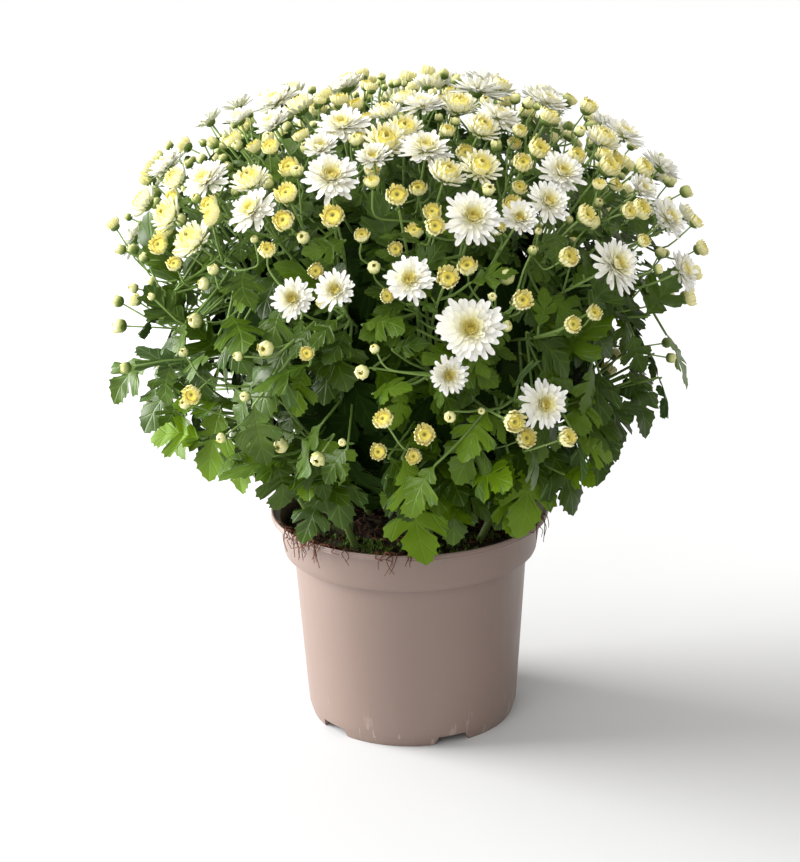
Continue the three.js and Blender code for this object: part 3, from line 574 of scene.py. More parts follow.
def grow_inside():
    """Blades that lie over each other round the dark inside of the bush, in the material with painted shade.
    """
    draw = seeded(INSIDE.seed)
    for towards in spiral(INSIDE.turns, INSIDE.polar):
        length, share, lean, turn = (draw(*INSIDE[key]) for key in ("length", "share", "lean", "turn"))
        foot = place_on(CORE, towards, share)
        along = unit(towards * lean + between(*down_and_side(towards), turn))
        across = unit(np.cross(along, towards))
        leaf = Values(foot=foot, along=along, side=across, face=np.cross(across, along))
        leaf |= dict(root=foot, length=length, arch=INSIDE.arch, near=True, deep=True, fine=3)
        points = leaf_points(leaf, PROBES_U, PROBES_V)
        stem = stem_of(foot)
        if np.min(depths_in_sector(stem, points)) <= -INSIDE.past_wall:
            continue
        if np.min(points[:, 2]) > POT.height + INSIDE.pot_clear:
            stem.leaves.append(leaf)


def grow_small_heads(taken):
    """Small heads and buds in the places that are left on the dome. taken holds places and radii."""
    draw = seeded(SMALL.seed)
    found = []
    for towards in spiral(SMALL.turns, SMALL.polar):
        size, share, kind, luck = draw(0, 1), draw(*SMALL.share), draw(0, 1), draw(0, 1)
        if luck > np.interp(math.degrees(math.acos(towards[2])), *SMALL_CHANCE):
            continue
        is_open = kind < SMALL.cups
        low, high = SMALL.cup if is_open else SMALL.bud
        radius = low + (high - low) * size
        middle = place_on(CROWN, towards, share)
        if any(math.dist(middle, other) < radius + r + SMALL.gap for other, r in taken):
            continue
        taken.append((middle, radius))
        facing = unit(unit(middle - UP * SMALL.facing) + drawn_vector(draw, SMALL.sway))
        head = Values(middle=middle, radius=radius, diameter=2 * radius, facing=facing, open=is_open)
        head |= dict(stem=stem_of(middle), turn=draw(0, 360), seed=SMALL.first_seed + len(found))
        found.append(head)
    return found


for i, stem in enumerate(stems):
    grow_on_branches(stem, seeded(SHOOT.seed + i))
for rule in FILL_RULES:
    draw = seeded(rule.seed)
    for towards in spiral(rule.turns, rule.polar):
        if towards[2] < math.cos(math.radians(rule.get("least_polar", 0))):
            grow_leaf(towards, draw, rule)
grow_inside()
taken = [(h.middle, h.diameter / 2) for h in heads] + [(b.middle, b.radius) for b in buds]
small_heads = grow_small_heads(taken)
for stem, count in zip(stems, SOURCE_LEAVES):
    near = [h for h in small_heads if math.dist(unit(h.middle - APEX), stem.axis) < SMALL.near_axis]
    middles = np.array([h.middle for h in near])
    clear = np.array([h.radius + 1 for h in near])
    kept = [leaf for leaf in stem.leaves[count:] if not np.any(near_blade(leaf, middles, clear))]
    stem.leaves = stem.leaves[:count] + kept

# ---- Mesh building ----

METRES = 0.001


class Pile:
    """Gathers points and quads of one piece. Each point has a surface place and a tone too."""

    def __init__(self):
        self.points, self.uvs, self.tones, self.faces, self.slots = [], [], [], [], []
        self.count = 0

    def add(self, points, faces, uvs=None, tones=0.0, slot=0):
        points = np.asarray(points, float).reshape(-1, 3)
        n = len(points)
        self.points.append(points)
        self.uvs.append(np.zeros((n, 2)) if uvs is None else np.asarray(uvs, float).reshape(-1, 2))
        self.tones.append(np.broadcast_to(np.asarray(tones, float).reshape(-1), (n,)))
        self.faces.append(np.asarray(faces, int) + self.count)
        self.slots.append(np.full(len(faces), slot))
        self.count += n

    def build(self, name, materials, slot, replaced=()):
        mesh = bpy.data.meshes.new(name)
        faces = np.vstack(self.faces)
        points = np.vstack(self.points) * METRES
        mesh.from_pydata(points.tolist(), [], faces.tolist(), shade_flat=False)
        mesh.polygons.foreach_set("material_index", np.concatenate(self.slots).astype(np.int32))
        layer = mesh.uv_layers.new(name="UVMap")
        layer.data.foreach_set("uv", np.vstack(self.uvs)[faces.ravel()].astype(np.float32).ravel())
        tone = mesh.attributes.new("tone", "FLOAT", "POINT")
        tone.data.foreach_set("value", np.concatenate(self.tones).astype(np.float32))
        mesh.validate()
        for material in materials:
            mesh.materials.append(material)
        piece = bpy.data.objects.new(name, mesh)
        bpy.context.scene.collection.objects.link(piece)
        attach(piece, "root")
        if replaced:
            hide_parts(*replaced)
        return piece


def grid_faces(rows, columns, closed=False):
    """Quads of a grid of points, row after row. A closed grid joins its last column to its first."""
    r, c = np.meshgrid(np.arange(rows - 1), np.arange(columns if closed else columns - 1), indexing="ij")
    a, b = r * columns + c, r * columns + (c + 1) % columns
    return np.stack([a, b, b + columns, a + columns], -1).reshape(-1, 4)


def repeated_faces(faces, size, copies):
    return (np.asarray(faces)[None] + (np.arange(copies) * size)[:, None, None]).reshape(-1, 4)


def angles_round(sides):
    return 2 * np.pi * np.arange(sides) / sides


def places_round(sides, rows):
    """Surface places of a form that closes on itself."""
    return np.stack(np.meshgrid(np.arange(sides) / sides, np.linspace(0, 1, rows)), -1)


def tube(pile, knots, radii, sides, tones=0.0):
    """A round stalk along the knots, with a blunt end."""
    knots = np.vstack([knots, knots[-1] + unit(knots[-1] - knots[-2]) * np.ravel(radii)[-1] * 0.5])
    radii = np.append(np.broadcast_to(np.asarray(radii, float), (len(knots) - 1,)), 0.02)
    across = np.array([0.3, 0.9, 0.1])
    cosines, sines = np.cos(angles_round(sides))[:, None], np.sin(angles_round(sides))[:, None]
    rings = []
    for knot, tangent, radius in zip(knots, np.gradient(knots, axis=0), radii):
        tangent = unit(tangent)
        across = unit(across - tangent * float(across @ tangent))
        rings.append(knot + radius * (cosines * across + sines * np.cross(tangent, across)))
    n = len(knots)
    tone = np.repeat(np.broadcast_to(np.asarray(tones, float), (n,)), sides)
    pile.add(np.array(rings), grid_faces(n, sides, closed=True), places_round(sides, n), tone)


TUBES = Values(main=((STEM.base, STEM.tip), 9, (0.0, 0.4)), stalk=((1.4, 0.72), 6, (0.1, 1)))
TUBES |= dict(thin_stalk=((0.85, 0.55), 5, (0.4, 1)), petiole=((1.1, 0.7), 4, (0.2, 0.8)))


def tapering_tube(pile, knots, radii, sides, tones):
    """A tube whose radius and tone change evenly from its start to its end."""
    n = len(knots)
    tube(pile, knots, np.linspace(*radii, n), sides, np.linspace(*tones, n + 1))


def smooth(knots, count):
    """Points of a smooth curve through the knots (Catmull and Rom's)."""
    knots = np.asarray(knots, float)
    p = np.vstack([2 * knots[0] - knots[1], knots, 2 * knots[-1] - knots[-2]])
    out = []
    for k in range(len(knots) - 1):
        a, b, c, d = p[k : k + 4]
        square, cube = 2 * a - 5 * b + 4 * c - d, 3 * b - a - 3 * c + d
        out += [0.5 * (2 * b + (c - a) * t + square * t**2 + cube * t**3) for t in np.arange(count) / count]
    return np.array(out + [knots[-1]])


def turned(pile, middle, facing, turn, profile, sides, tones, slot=0, ridges=0, depth=0.0):
    """A turned form: the profile is [radius, height] from its lower end, and ridges run up its side."""
    across, other = frame_of(facing)
    profile = np.asarray(profile, float)
    angles = math.radians(turn) + angles_round(sides)
    ring = np.cos(angles)[:, None] * across + np.sin(angles)[:, None] * other
    ring = ring * (1 + depth * np.cos(ridges * angles))[:, None]
    points = middle + profile[:, 1, None, None] * facing + profile[:, 0, None, None] * ring
    faces = grid_faces(len(profile), sides, closed=True)
    pile.add(points, faces, places_round(sides, len(profile)), np.repeat(tones, sides), slot)


# ---- Petals ----

PETAL_SHARES = np.array([0, 0.25, 0.5, 0.7, 0.85, 0.95, 1.0])
PETAL_WIDTHS = np.array([0.34, 0.56, 0.82, 1.0, 0.95, 0.7, 0.24])
NARROW_PETAL = [0, 2, 3, 5, 6]
LOOSE = Values(azimuth=0.5, length=0.1, tilt=9, bend=0.25, twist=0.22)
CUP = Values(level=0.35, closing=1.6)  # how petals cup across, less so near the tip


def petal_rank(pile, head, draw, rank, phase=0.0, cup=0.5, slot=0, loose_by=1.0):
    """
    One rank of petals: how many, the reach and height of their feet, their tilt and curl above the
    head's plane, length, width, tones at foot and tip, and quads across. Lengths are over the
    head's radius.
    """
    count, start, tilt, curl, length, width, tones, columns = rank
    r, facing = head.diameter / 2, head.facing
    across, other = frame_of(facing)
    loose = np.array([[draw(-1, 1) for _ in range(5)] for _ in range(count)]) * loose_by
    azimuth = math.radians(head.turn) + 2 * np.pi * (np.arange(count) + phase) / count
    azimuth = azimuth + loose[:, 0] * LOOSE.azimuth * np.pi / count
    cosines, sines = np.cos(azimuth)[:, None], np.sin(azimuth)[:, None]
    radial, sideways = cosines * across + sines * other, cosines * other - sines * across
    rows = slice(None) if columns > 2 else NARROW_PETAL
    shares, widths = PETAL_SHARES[rows], PETAL_WIDTHS[rows]

    long = length * r * (1 + LOOSE.length * loose[:, 1])
    base = np.radians(tilt + LOOSE.tilt * loose[:, 2])[:, None]
    bend = np.radians(curl * (1 + LOOSE.bend * loose[:, 3]))[:, None]
    angle = base + bend * (shares[1:] + shares[:-1])[None] / 2
    steps = long[:, None] * np.diff(shares)[None]
    foot = np.zeros((count, 1))
    out = np.hstack([foot, np.cumsum(steps * np.cos(angle), 1)]) + start[0] * r
    up = np.hstack([foot, np.cumsum(steps * np.sin(angle), 1)]) + start[1] * r
    centre = head.middle + out[..., None] * radial[:, None] + up[..., None] * facing
    lean = (base + bend * shares[None])[..., None]
    normal = np.cos(lean) * facing - np.sin(lean) * radial[:, None]

    x = np.linspace(-1, 1, columns + 1)
    half = (0.5 * width * r * widths)[:, None]
    aside = x[None, :] * half
    points = centre[:, :, None] + aside[None, ..., None] * sideways[:, None, None]
    closing = np.minimum(1, CUP.closing - shares)[:, None]
    lift = cup * half * (x[None, :] ** 2 - CUP.level) * closing
    twist = loose[:, 4][:, None, None] * LOOSE.twist * aside[None]
    points = points + (lift[None] + twist)[..., None] * normal[:, :, None]

    rows, columns = len(shares), columns + 1
    faces = repeated_faces(grid_faces(rows, columns), rows * columns, count)
    uvs = np.stack(np.meshgrid((x + 1) / 2, shares), -1).reshape(1, -1, 2)
    tone = np.repeat(tones[0] + (tones[1] - tones[0]) * shares, columns)
    pile.add(points, faces, np.tile(uvs, (count, 1, 1)), np.tile(tone, count), slot)


# Turned parts of heads: [radius, height] over the head's radius, and the tone there.
EYE = [(0.1, -0.1), (0.18, 0.0), (0.17, 0.05), (0.12, 0.1), (0.06, 0.12), (0.0, 0.12)]
EYE_TONES = [0.4, 0.42, 0.44, 0.48, 0.54, 0.6]
CALYX_CUP = [
    (0.06, -0.33), (0.2, -0.32), (0.31, -0.22), (0.34, -0.1), (0.3, 0.0), (0.15, 0.05), (0.0, 0.06),
]
CALYX_CUP_TONES = [0, 0.1, 0.3, 0.5, 0.6, 1, 1]
BARREL = [
    (0.3, -0.55), (0.58, -0.34), (0.68, -0.02), (0.62, 0.2), (0.46, 0.36), (0.28, 0.4), (0.14, 0.3),
    (0.0, 0.2),
]
BARREL_TONES = [0.3, 0.3, 0.34, 0.44, 0.64, 0.74, 0.9, 1.0]
TALL_CUP = [(0.1, -0.8), (0.3, -0.78), (0.52, -0.64), (0.62, -0.46), (0.6, -0.3), (0.4, -0.2)]
TALL_CUP_TONES = [0, 0.1, 0.25, 0.4, 0.5, 0.5]
BALL = [
    (0.16, -1.0), (0.55, -0.9), (0.88, -0.5), (0.97, -0.05), (0.84, 0.42), (0.56, 0.68), (0.28, 0.62),
    (0.0, 0.42),
]
BALL_TONES = [0.0, 0.04, 0.14, 0.3, 0.42, 0.6, 0.86, 1.0]
IN_PETAL, IN_CALYX, IN_BUD_SKIN = 0, 1, 2
HEAD_SEED = 1000
YOUNG = Values(below=28, span=8, rise=28, yellow=0.12)  # small blooms stand more upright and yellow
FLARE = Values(limits=(-9, 2), from_radius=7, by=5, large=7.5)  # large half-open heads open wider


def round_part(pile, head, profile, tones, sides, slot, ridges=0, depth=0.0):
    profile = np.array(profile) * (head.diameter / 2)
    turned(pile, head.middle, head.facing, head.turn, profile, sides, tones, slot, ridges, depth)


def open_bloom(pile, head):
    """Ranks of petals from the outer ones, which lie flat, to the incurved ones round the eye."""
    draw = seeded(HEAD_SEED + head.seed)
    young = min(1, max(0, (YOUNG.below - head.diameter) / YOUNG.span))
    rise, yellow = YOUNG.rise * young, YOUNG.yellow * young
    # Tones run from each petal's foot to its tip: the cream at the feet of the outer ranks is partly painted
    # warm shade between the petals.
    ranks = [
        (22, (0.14, -0.1), -9 + rise, 19, 0.97, 0.22, (0.14, 0.0), 3),
        (21, (0.14, -0.06), 4 + rise, 18, 0.88, 0.22, (0.16, 0.0), 3),
        (19, (0.14, -0.02), 16 + rise, 18, 0.74, 0.21, (0.22, 0.02 + yellow * 0.5), 3),
        (17, (0.15, 0.0), 28 + rise, 22, 0.58, 0.19, (0.34, 0.08 + yellow), 3),
        (16, (0.16, 0.02), 40 + rise * 0.5, 30, 0.42, 0.17, (0.44, 0.2 + yellow), 2),
        (14, (0.14, 0.03), 52 + rise * 0.3, 36, 0.33, 0.14, (0.48, 0.34 + yellow), 2),
        (12, (0.1, 0.04), 64, 34, 0.26, 0.12, (0.52, 0.46), 2),
        (9, (0.06, 0.05), 76, 20, 0.2, 0.1, (0.54, 0.5), 2),
        (5, (0.02, 0.05), 86, 8, 0.17, 0.1, (0.58, 0.54), 2),
    ]
    for k, rank in enumerate(ranks):
        petal_rank(pile, head, draw, rank, 0.37 * k, loose_by=1.4 if k < 4 else 1.0)
    round_part(pile, head, EYE, EYE_TONES, 9, IN_PETAL)
    round_part(pile, head, CALYX_CUP, CALYX_CUP_TONES, 14, IN_CALYX, ridges=7, depth=0.06)


def half_open_head(pile, head):
    """A barrel of upright petals, pale outside and golden inside, round a dark dimple."""
    draw = seeded(HEAD_SEED + head.seed)
    size = head.diameter / 2
    flare = draw(*FLARE.limits) - FLARE.by * max(0, size - FLARE.from_radius)
    ranks = [
        (16, (0.34, -0.52), 24, 86 + flare, 1.32, 0.35, (0.46, 0.34), 2),
        (13, (0.28, -0.38), 36, 84 + flare, 1.1, 0.32, (0.52, 0.44), 2),
        (9, (0.26, -0.2), 54, 64, 0.6, 0.26, (0.6, 0.56), 2),
    ]
    if size > FLARE.large:
        ranks = [
            (16, (0.36, -0.56), 12, 52 + flare, 1.28, 0.31, (0.34, 0.04), 2),
            (16, (0.34, -0.5), 24, 78 + flare, 1.24, 0.3, (0.42, 0.18), 2),
            (14, (0.28, -0.4), 36, 80 + flare * 0.5, 1.06, 0.28, (0.48, 0.32), 2),
            (10, (0.2, -0.25), 48, 88, 0.86, 0.3, (0.58, 0.5), 2),
            (8, (0.2, -0.1), 60, 76, 0.48, 0.24, (0.64, 0.62), 2),
        ]
    for k, rank in enumerate(ranks):
        petal_rank(pile, head, draw, rank, 0.4 * k, cup=0.9, loose_by=0.5)
    round_part(pile, head, BARREL, BARREL_TONES, 7, IN_PETAL)
    round_part(pile, head, TALL_CUP, TALL_CUP_TONES, 9, IN_CALYX)


def closed_bud(pile, head):
    """A ball of folded petals with a dimple on top, held by short green sepals."""
    draw = seeded(HEAD_SEED + head.seed)
    ripe = draw(0, 1)
    tones = [t if t > 0.7 else t * (0.35 + 0.65 * ripe) for t in BALL_TONES]
    round_part(pile, head, BALL, tones, 8, IN_BUD_SKIN)
    petals = (7, (0.62, -0.46), 56, 92, 1.42, 0.8, (0.2 + 0.16 * ripe, 0.34 + 0.26 * ripe), 2)
    sepals = (5, (0.3, -0.98), 16, 82, 1.0, 0.7, (0.0, 0.06), 2)
    petal_rank(pile, head, draw, petals, cup=-0.2, slot=IN_BUD_SKIN)
    petal_rank(pile, head, draw, sepals, phase=0.5, cup=-0.2, slot=IN_BUD_SKIN)


# ---- Blades ----

# Half of a blade: half width, distance from the foot, and where its vein leaves the midrib.
OUTLINE = np.array([
    (0.012, 0.0, 0.0), (0.03, 0.06, 0.05), (0.07, 0.12, 0.09), (0.14, 0.165, 0.12), (0.215, 0.21, 0.15),
    (0.222, 0.262, 0.18), (0.258, 0.3, 0.21), (0.19, 0.335, 0.25), (0.135, 0.35, 0.28), (0.22, 0.382, 0.3),
    (0.33, 0.42, 0.32), (0.415, 0.48, 0.34), (0.405, 0.53, 0.36), (0.43, 0.595, 0.38), (0.375, 0.61, 0.395),
    (0.35, 0.68, 0.41), (0.28, 0.65, 0.425), (0.215, 0.6, 0.44), (0.155, 0.56, 0.455), (0.105, 0.54, 0.475),
    (0.12, 0.57, 0.5), (0.17, 0.62, 0.54), (0.238, 0.675, 0.585), (0.222, 0.715, 0.625), (0.252, 0.78, 0.66),
    (0.205, 0.79, 0.7), (0.18, 0.82, 0.735), (0.195, 0.87, 0.77), (0.152, 0.88, 0.81), (0.118, 0.905, 0.85),
    (0.105, 0.95, 0.885), (0.066, 0.962, 0.93), (0.0, 1.0, 1.0),
])
FEW_ROWS = [0, 2, 4, 5, 6, 8, 11, 12, 13, 14, 15, 19, 22, 23, 24, 25, 27, 28, 32]


def blade_template(columns, rows=slice(None)):
    """Rows of points across a blade, which bow from the midrib out to the outline."""
    half, tip, foot = (column[:, None] for column in OUTLINE[rows].T)
    columns = np.array(columns)[None]
    x, y = half * columns, foot + (tip - foot) * np.abs(columns) ** 1.2
    return x, y, columns, grid_faces(*x.shape)


BLADES = [
    blade_template([-1, -0.6, -0.25, 0.25, 0.6, 1]),
    blade_template([-1, -0.5, 0, 0.5, 1]),
    blade_template([-1, 0, 1]),
    blade_template([-1, 0, 1], FEW_ROWS),
]
THICK, DROOP = 0.28, 1.4
RIPPLE = Values(waves=21, lag=3, full_at=0.2)  # of a blade's edge, out of step on its two halves
BLADE_DRAWS = dict(
    fold=(0.02, 0.34), droop=(0.2, 0.8), wave=(0.006, 0.024), phase=(0, 6), twist=(-0.6, 0.6),
    sway=(-0.1, 0.1), tone=(0, 1), width=(0.8, 1.04),
)
LOW_TO_HIGH, LIGHT_SHARES = [200, 320], [1, 0.25]  # low leaves are lighter than high ones


def add_leaf(pile, leaf, draw):
    """A blade, folded, waved and twisted each in its own way: an upper and a lower side, or for a deep blade
    one side in the material with painted shade.
    """
    x, y, columns, faces = BLADES[leaf.fine]
    uvs = np.stack([x, y], -1)
    own = Values((key, draw(*limits)) for key, limits in BLADE_DRAWS.items())
    tone = own.tone ** 3 * np.interp(leaf.foot[2], LOW_TO_HIGH, LIGHT_SHARES)
    x = x * own.width * leaf.get("narrow", 1)
    lift = own.fold * np.abs(x) - own.droop * x**2 * DROOP + own.twist * x * y**2
    ripple = np.sin(y * RIPPLE.waves + own.phase + RIPPLE.lag * np.sign(x))
    lift = lift + own.wave * ripple * np.abs(x) / RIPPLE.full_at
    thick = THICK / leaf.length * (1 - np.abs(columns) ** 3)
    surface = leaf_points(leaf, y, own.sway * np.sin(np.pi * y) + x)
    # A deep blade gets one side in slot 2, the dark greens of painted shade.
    sides = [(1, faces, 2)] if "deep" in leaf else [(1, faces, 0), (-1, faces[:, ::-1], 1)]
    for sign, quads, slot in sides:
        raised = (lift + sign * thick)[..., None] * (leaf.face * leaf.length)
        pile.add(surface + raised, quads, uvs, tone, slot)


def add_petiole(pile, leaf, network):
    """The stalk of a leaf, from the branch it grows on to the foot of its blade."""
    foot, inside = leaf.foot, leaf_points(leaf, 0.05, 0.0)
    if "near" in leaf:
        path = [leaf.root, (leaf.root + foot) / 2 - UP, foot, inside]
    else:
        behind = foot - leaf.along * 16
        origin = network[int(np.argmin(np.linalg.norm(network - behind, axis=1)))]
        path = smooth([origin, (origin + foot) / 2 - UP * 2, foot, inside], 2)
    tapering_tube(pile, path, *TUBES.petiole)


# ---- Materials ----


class Shader:
    """A material of shader nodes, built by short calls."""

    def __init__(self, name, roughness, specular):
        self.material = bpy.data.materials.new(name)
        self.material.use_nodes = True
        self.tree = self.material.node_tree
        self.surface = self.tree.nodes["Principled BSDF"].inputs
        self.surface["Roughness"].default_value = roughness
        self.surface["Specular IOR Level"].default_value = specular

    def feed(self, socket, value):
        if isinstance(value, bpy.types.NodeSocket):
            self.tree.links.new(value, socket)
        else:
            socket.default_value = value

    def node(self, kind, **inputs):
        made = self.tree.nodes.new("ShaderNode" + kind)
        for key, value in inputs.items():
            self.feed(made.inputs[key], value)
        return made

    def math(self, operation, *values, clamp=False):
        made = self.node("Math")
        made.operation = operation
        made.use_clamp = clamp
        for socket, value in zip(made.inputs, values):
            self.feed(socket, value)
        return made.outputs[0]

    def times(self, a, b):
        return self.math("MULTIPLY", a, b)

    def scaled(self, value, by, plus):
        """The value times one number plus another, kept between 0 and 1."""
        return self.math("MULTIPLY_ADD", value, by, plus, clamp=True)

    def tone(self):
        made = self.node("Attribute")
        made.attribute_name = "tone"
        return made.outputs["Fac"]

    def place(self, of="Object"):
        return self.node("TexCoord").outputs[of]

    def split(self, vector):
        return self.node("SeparateXYZ", Vector=vector).outputs

    def noise(self, scale, detail=3.0, place=None, roughness=0.5):
        made = self.node("TexNoise", Scale=scale, Detail=detail, Roughness=roughness)
        self.feed(made.inputs["Vector"], place or self.place())
        return made.outputs["Fac"]

    def ramp(self, value, stops):
        made = self.node("ValToRGB", Fac=value)
        elements = made.color_ramp.elements
        while len(elements) < len(stops):
            elements.new(0.5)
        for element, (position, colour) in zip(elements, stops):
            element.position = position
            element.color = (*colour, 1)
        return made.outputs[0]

    def mix(self, share, *colours):
        made = self.node("Mix")
        made.data_type = "RGBA"
        self.feed(made.inputs[0], share)
        for socket, colour in zip(made.inputs[6:8], colours):
            self.feed(socket, (*colour, 1) if isinstance(colour, tuple) else colour)
        return made.outputs[2]

    def bump(self, height, strength, distance):
        made = self.node("Bump", Height=height, Strength=strength, Distance=distance)
        self.feed(self.surface["Normal"], made.outputs[0])

    def colour(self, value):
        self.feed(self.surface["Base Color"], value)
        return self.material


def vein_distance(shader, x, y, foot, tip):
    """Distance from a straight vein between two places of the half blade, far away past its ends."""
    run = (tip[0] - foot[0], tip[1] - foot[1])
    long = math.hypot(*run)
    ux, uy = run[0] / long, run[1] / long
    dx, dy = shader.math("SUBTRACT", x, foot[0]), shader.math("SUBTRACT", y, foot[1])
    along = shader.math("MULTIPLY_ADD", dx, ux, shader.times(dy, uy))
    off = shader.math("ABSOLUTE", shader.math("MULTIPLY_ADD", dx, uy, shader.times(dy, -ux)))
    past = shader.math("MAXIMUM", shader.math("SUBTRACT", along, long), shader.times(along, -1.0))
    return shader.math("ADD", off, shader.math("MAXIMUM", past, 0.0))


VEINS = [
    ((0, 0.1), (0.24, 0.28)), ((0, 0.2), (0.42, 0.56)), ((0.17, 0.34), (0.34, 0.63)),
    ((0, 0.47), (0.22, 0.73)), ((0, 0.68), (0.15, 0.86)),
]
VEIN_WIDTH = 0.016


def leaf_material(name, dark, light, vein, roughness, specular, vein_share, relief):
    """Greens between dark and light, a painted grey sheen in places, and fine veins sunk or raised."""
    shader = Shader(name, roughness, specular)
    x, y = shader.split(shader.place("UV"))[:2]
    half = shader.math("ABSOLUTE", x)
    nearest = shader.times(half, 0.72)
    for foot, tip in VEINS:
        nearest = shader.math("MINIMUM", nearest, vein_distance(shader, half, y, foot, tip))
    line = shader.math("SUBTRACT", 1.0, shader.math("DIVIDE", nearest, VEIN_WIDTH), clamp=True)
    cloudy = shader.times(shader.noise(60.0), 0.24)
    green = shader.mix(shader.scaled(shader.tone(), 0.8, cloudy), dark, light)
    # Patches where the green is mixed towards grey: painted sheen.
    sheen_patches = shader.scaled(shader.noise(14.0, 1.0), 6.0, -3.1)
    sheen_grey = tuple(0.45 * (a + b) + 0.025 for a, b in zip(dark, light))
    green = shader.mix(shader.times(sheen_patches, 0.35), green, sheen_grey)
    fine = shader.times(shader.noise(900.0, 2.0), 0.25)
    shader.bump(shader.math("MULTIPLY_ADD", line, relief, fine), 0.35, 0.0006)
    return shader.colour(shader.mix(shader.times(line, vein_share), green, vein))


def petal_material():
    """White to golden along the tone, with fine lines along each petal and light through it."""
    shader = Shader("petal", 0.5, 0.25)
    stops = [
        (0.0, (0.97, 0.97, 0.95)), (0.22, (0.96, 0.94, 0.72)), (0.45, (0.96, 0.87, 0.33)),
        (0.62, (0.91, 0.77, 0.13)), (0.8, (0.58, 0.50, 0.06)), (1.0, (0.10, 0.10, 0.012)),
    ]
    lines = shader.math("SINE", shader.times(shader.split(shader.place("UV"))[0], 38.0))
    shader.bump(lines, 0.18, 0.0004)
    shader.surface["Subsurface Weight"].default_value = 0.3
    shader.surface["Subsurface Radius"].default_value = (1.0, 0.95, 0.75)
    shader.surface["Subsurface Scale"].default_value = 0.0015
    veil = shader.times(shader.noise(240.0, 2.0), 0.08)
    return shader.colour(shader.mix(veil, shader.ramp(shader.tone(), stops), (0.9, 0.87, 0.7)))


def ramp_material(name, roughness, specular, tone_share, grain, relief, stops):
    """Colours along a ramp, by the tone and by a grain that gives the relief as well."""
    shader = Shader(name, roughness, specular)
    noise = shader.noise(*grain)
    if relief:
        shader.bump(noise, *relief)
    share = shader.scaled(shader.tone(), tone_share, shader.times(noise, 1 - tone_share))
    return shader.colour(shader.ramp(share, stops))


LEAF_MATERIALS = [
    leaf_material(
        "leaf_upper_side", (0.006, 0.022, 0.0015), (0.195, 0.345, 0.005), (0.14, 0.25, 0.025),
        roughness=0.36, specular=0.22, vein_share=0.25, relief=-1.0,
    ),
    leaf_material(
        "leaf_lower_side", (0.042, 0.09, 0.016), (0.11, 0.20, 0.04), (0.19, 0.27, 0.10),
        roughness=0.65, specular=0.15, vein_share=0.6, relief=1.0,
    ),
    # Dark greens for the blades inside the bush: painted shade.
    leaf_material(
        "leaf_in_painted_shade", (0.006, 0.018, 0.001), (0.020, 0.046, 0.002), (0.03, 0.06, 0.006),
        roughness=0.8, specular=0.05, vein_share=0.3, relief=-1.0,
    ),
]
CALYX = ramp_material("calyx", 0.6, 0.3, 1.0, (500.0, 2.0), (0.3, 0.0004), [
    (0.0, (0.075, 0.13, 0.02)), (0.5, (0.12, 0.19, 0.035)), (0.62, (0.34, 0.34, 0.10)),
    (1.0, (0.16, 0.12, 0.02)),
])
BUD_SKIN = ramp_material("bud", 0.55, 0.3, 1.0, (700.0, 2.0), (0.25, 0.0003), [
    (0.0, (0.085, 0.15, 0.025)), (0.1, (0.14, 0.20, 0.04)), (0.26, (0.55, 0.57, 0.22)),
    (0.5, (0.87, 0.84, 0.46)), (0.7, (0.84, 0.76, 0.28)), (0.86, (0.20, 0.19, 0.025)),
    (1.0, (0.035, 0.04, 0.006)),
])
STALK_SKIN = ramp_material("stalk", 0.55, 0.3, 0.7, (150.0, 3.0), (0.3, 0.0005), [
    (0.0, (0.10, 0.13, 0.04)), (0.45, (0.13, 0.22, 0.04)), (1.0, (0.26, 0.37, 0.11)),
])
HEAD_MATERIALS = [petal_material(), CALYX, BUD_SKIN]

# ---- Pieces of the plant ----

PIECE_SEED, BUD_SEEDS = 700, (3000, 4000)
LIMB = Values(first=0.3, spread=0.66, outward=0.55, sag=6)
THIN_STALK = Values(open_neck=0.75, bud_neck=0.9, back=26, below=8, facing_up=0.4, lift=0.35)
THIN_STALK |= dict(straight=0.7, cost=60)


def limb_points(stem, start, share):
    """A branch inside the bush, from the main stem out to where a stalk begins."""
    foot = curve_point(stem.main, share)
    bend = foot * (1 - LIMB.outward) + start * LIMB.outward - UP * LIMB.sag
    return knots_on([foot, bend, start], 4)


def stalk_to(pile, network, small):
    """A thin stalk that leaves a branch behind a small head and curves up to it."""
    facing = small.facing
    back = THIN_STALK.open_neck if small.open else THIN_STALK.bud_neck
    neck = small.middle - facing * small.radius * back
    below = neck - facing * THIN_STALK.back - UP * THIN_STALK.below
    run = neck - network
    straight = run @ unit(facing + UP * THIN_STALK.facing_up) / np.linalg.norm(run, axis=1)
    turned_back = np.maximum(0, THIN_STALK.straight - straight)
    costs = np.linalg.norm(network - below, axis=1) + THIN_STALK.cost * turned_back
    origin = network[int(np.argmin(costs))]
    bend = neck - facing * THIN_STALK.lift * math.dist(neck, origin)
    path = smooth([origin, origin * 0.45 + bend * 0.55 - UP, bend, neck], 3)
    tapering_tube(pile, path, *TUBES.thin_stalk)


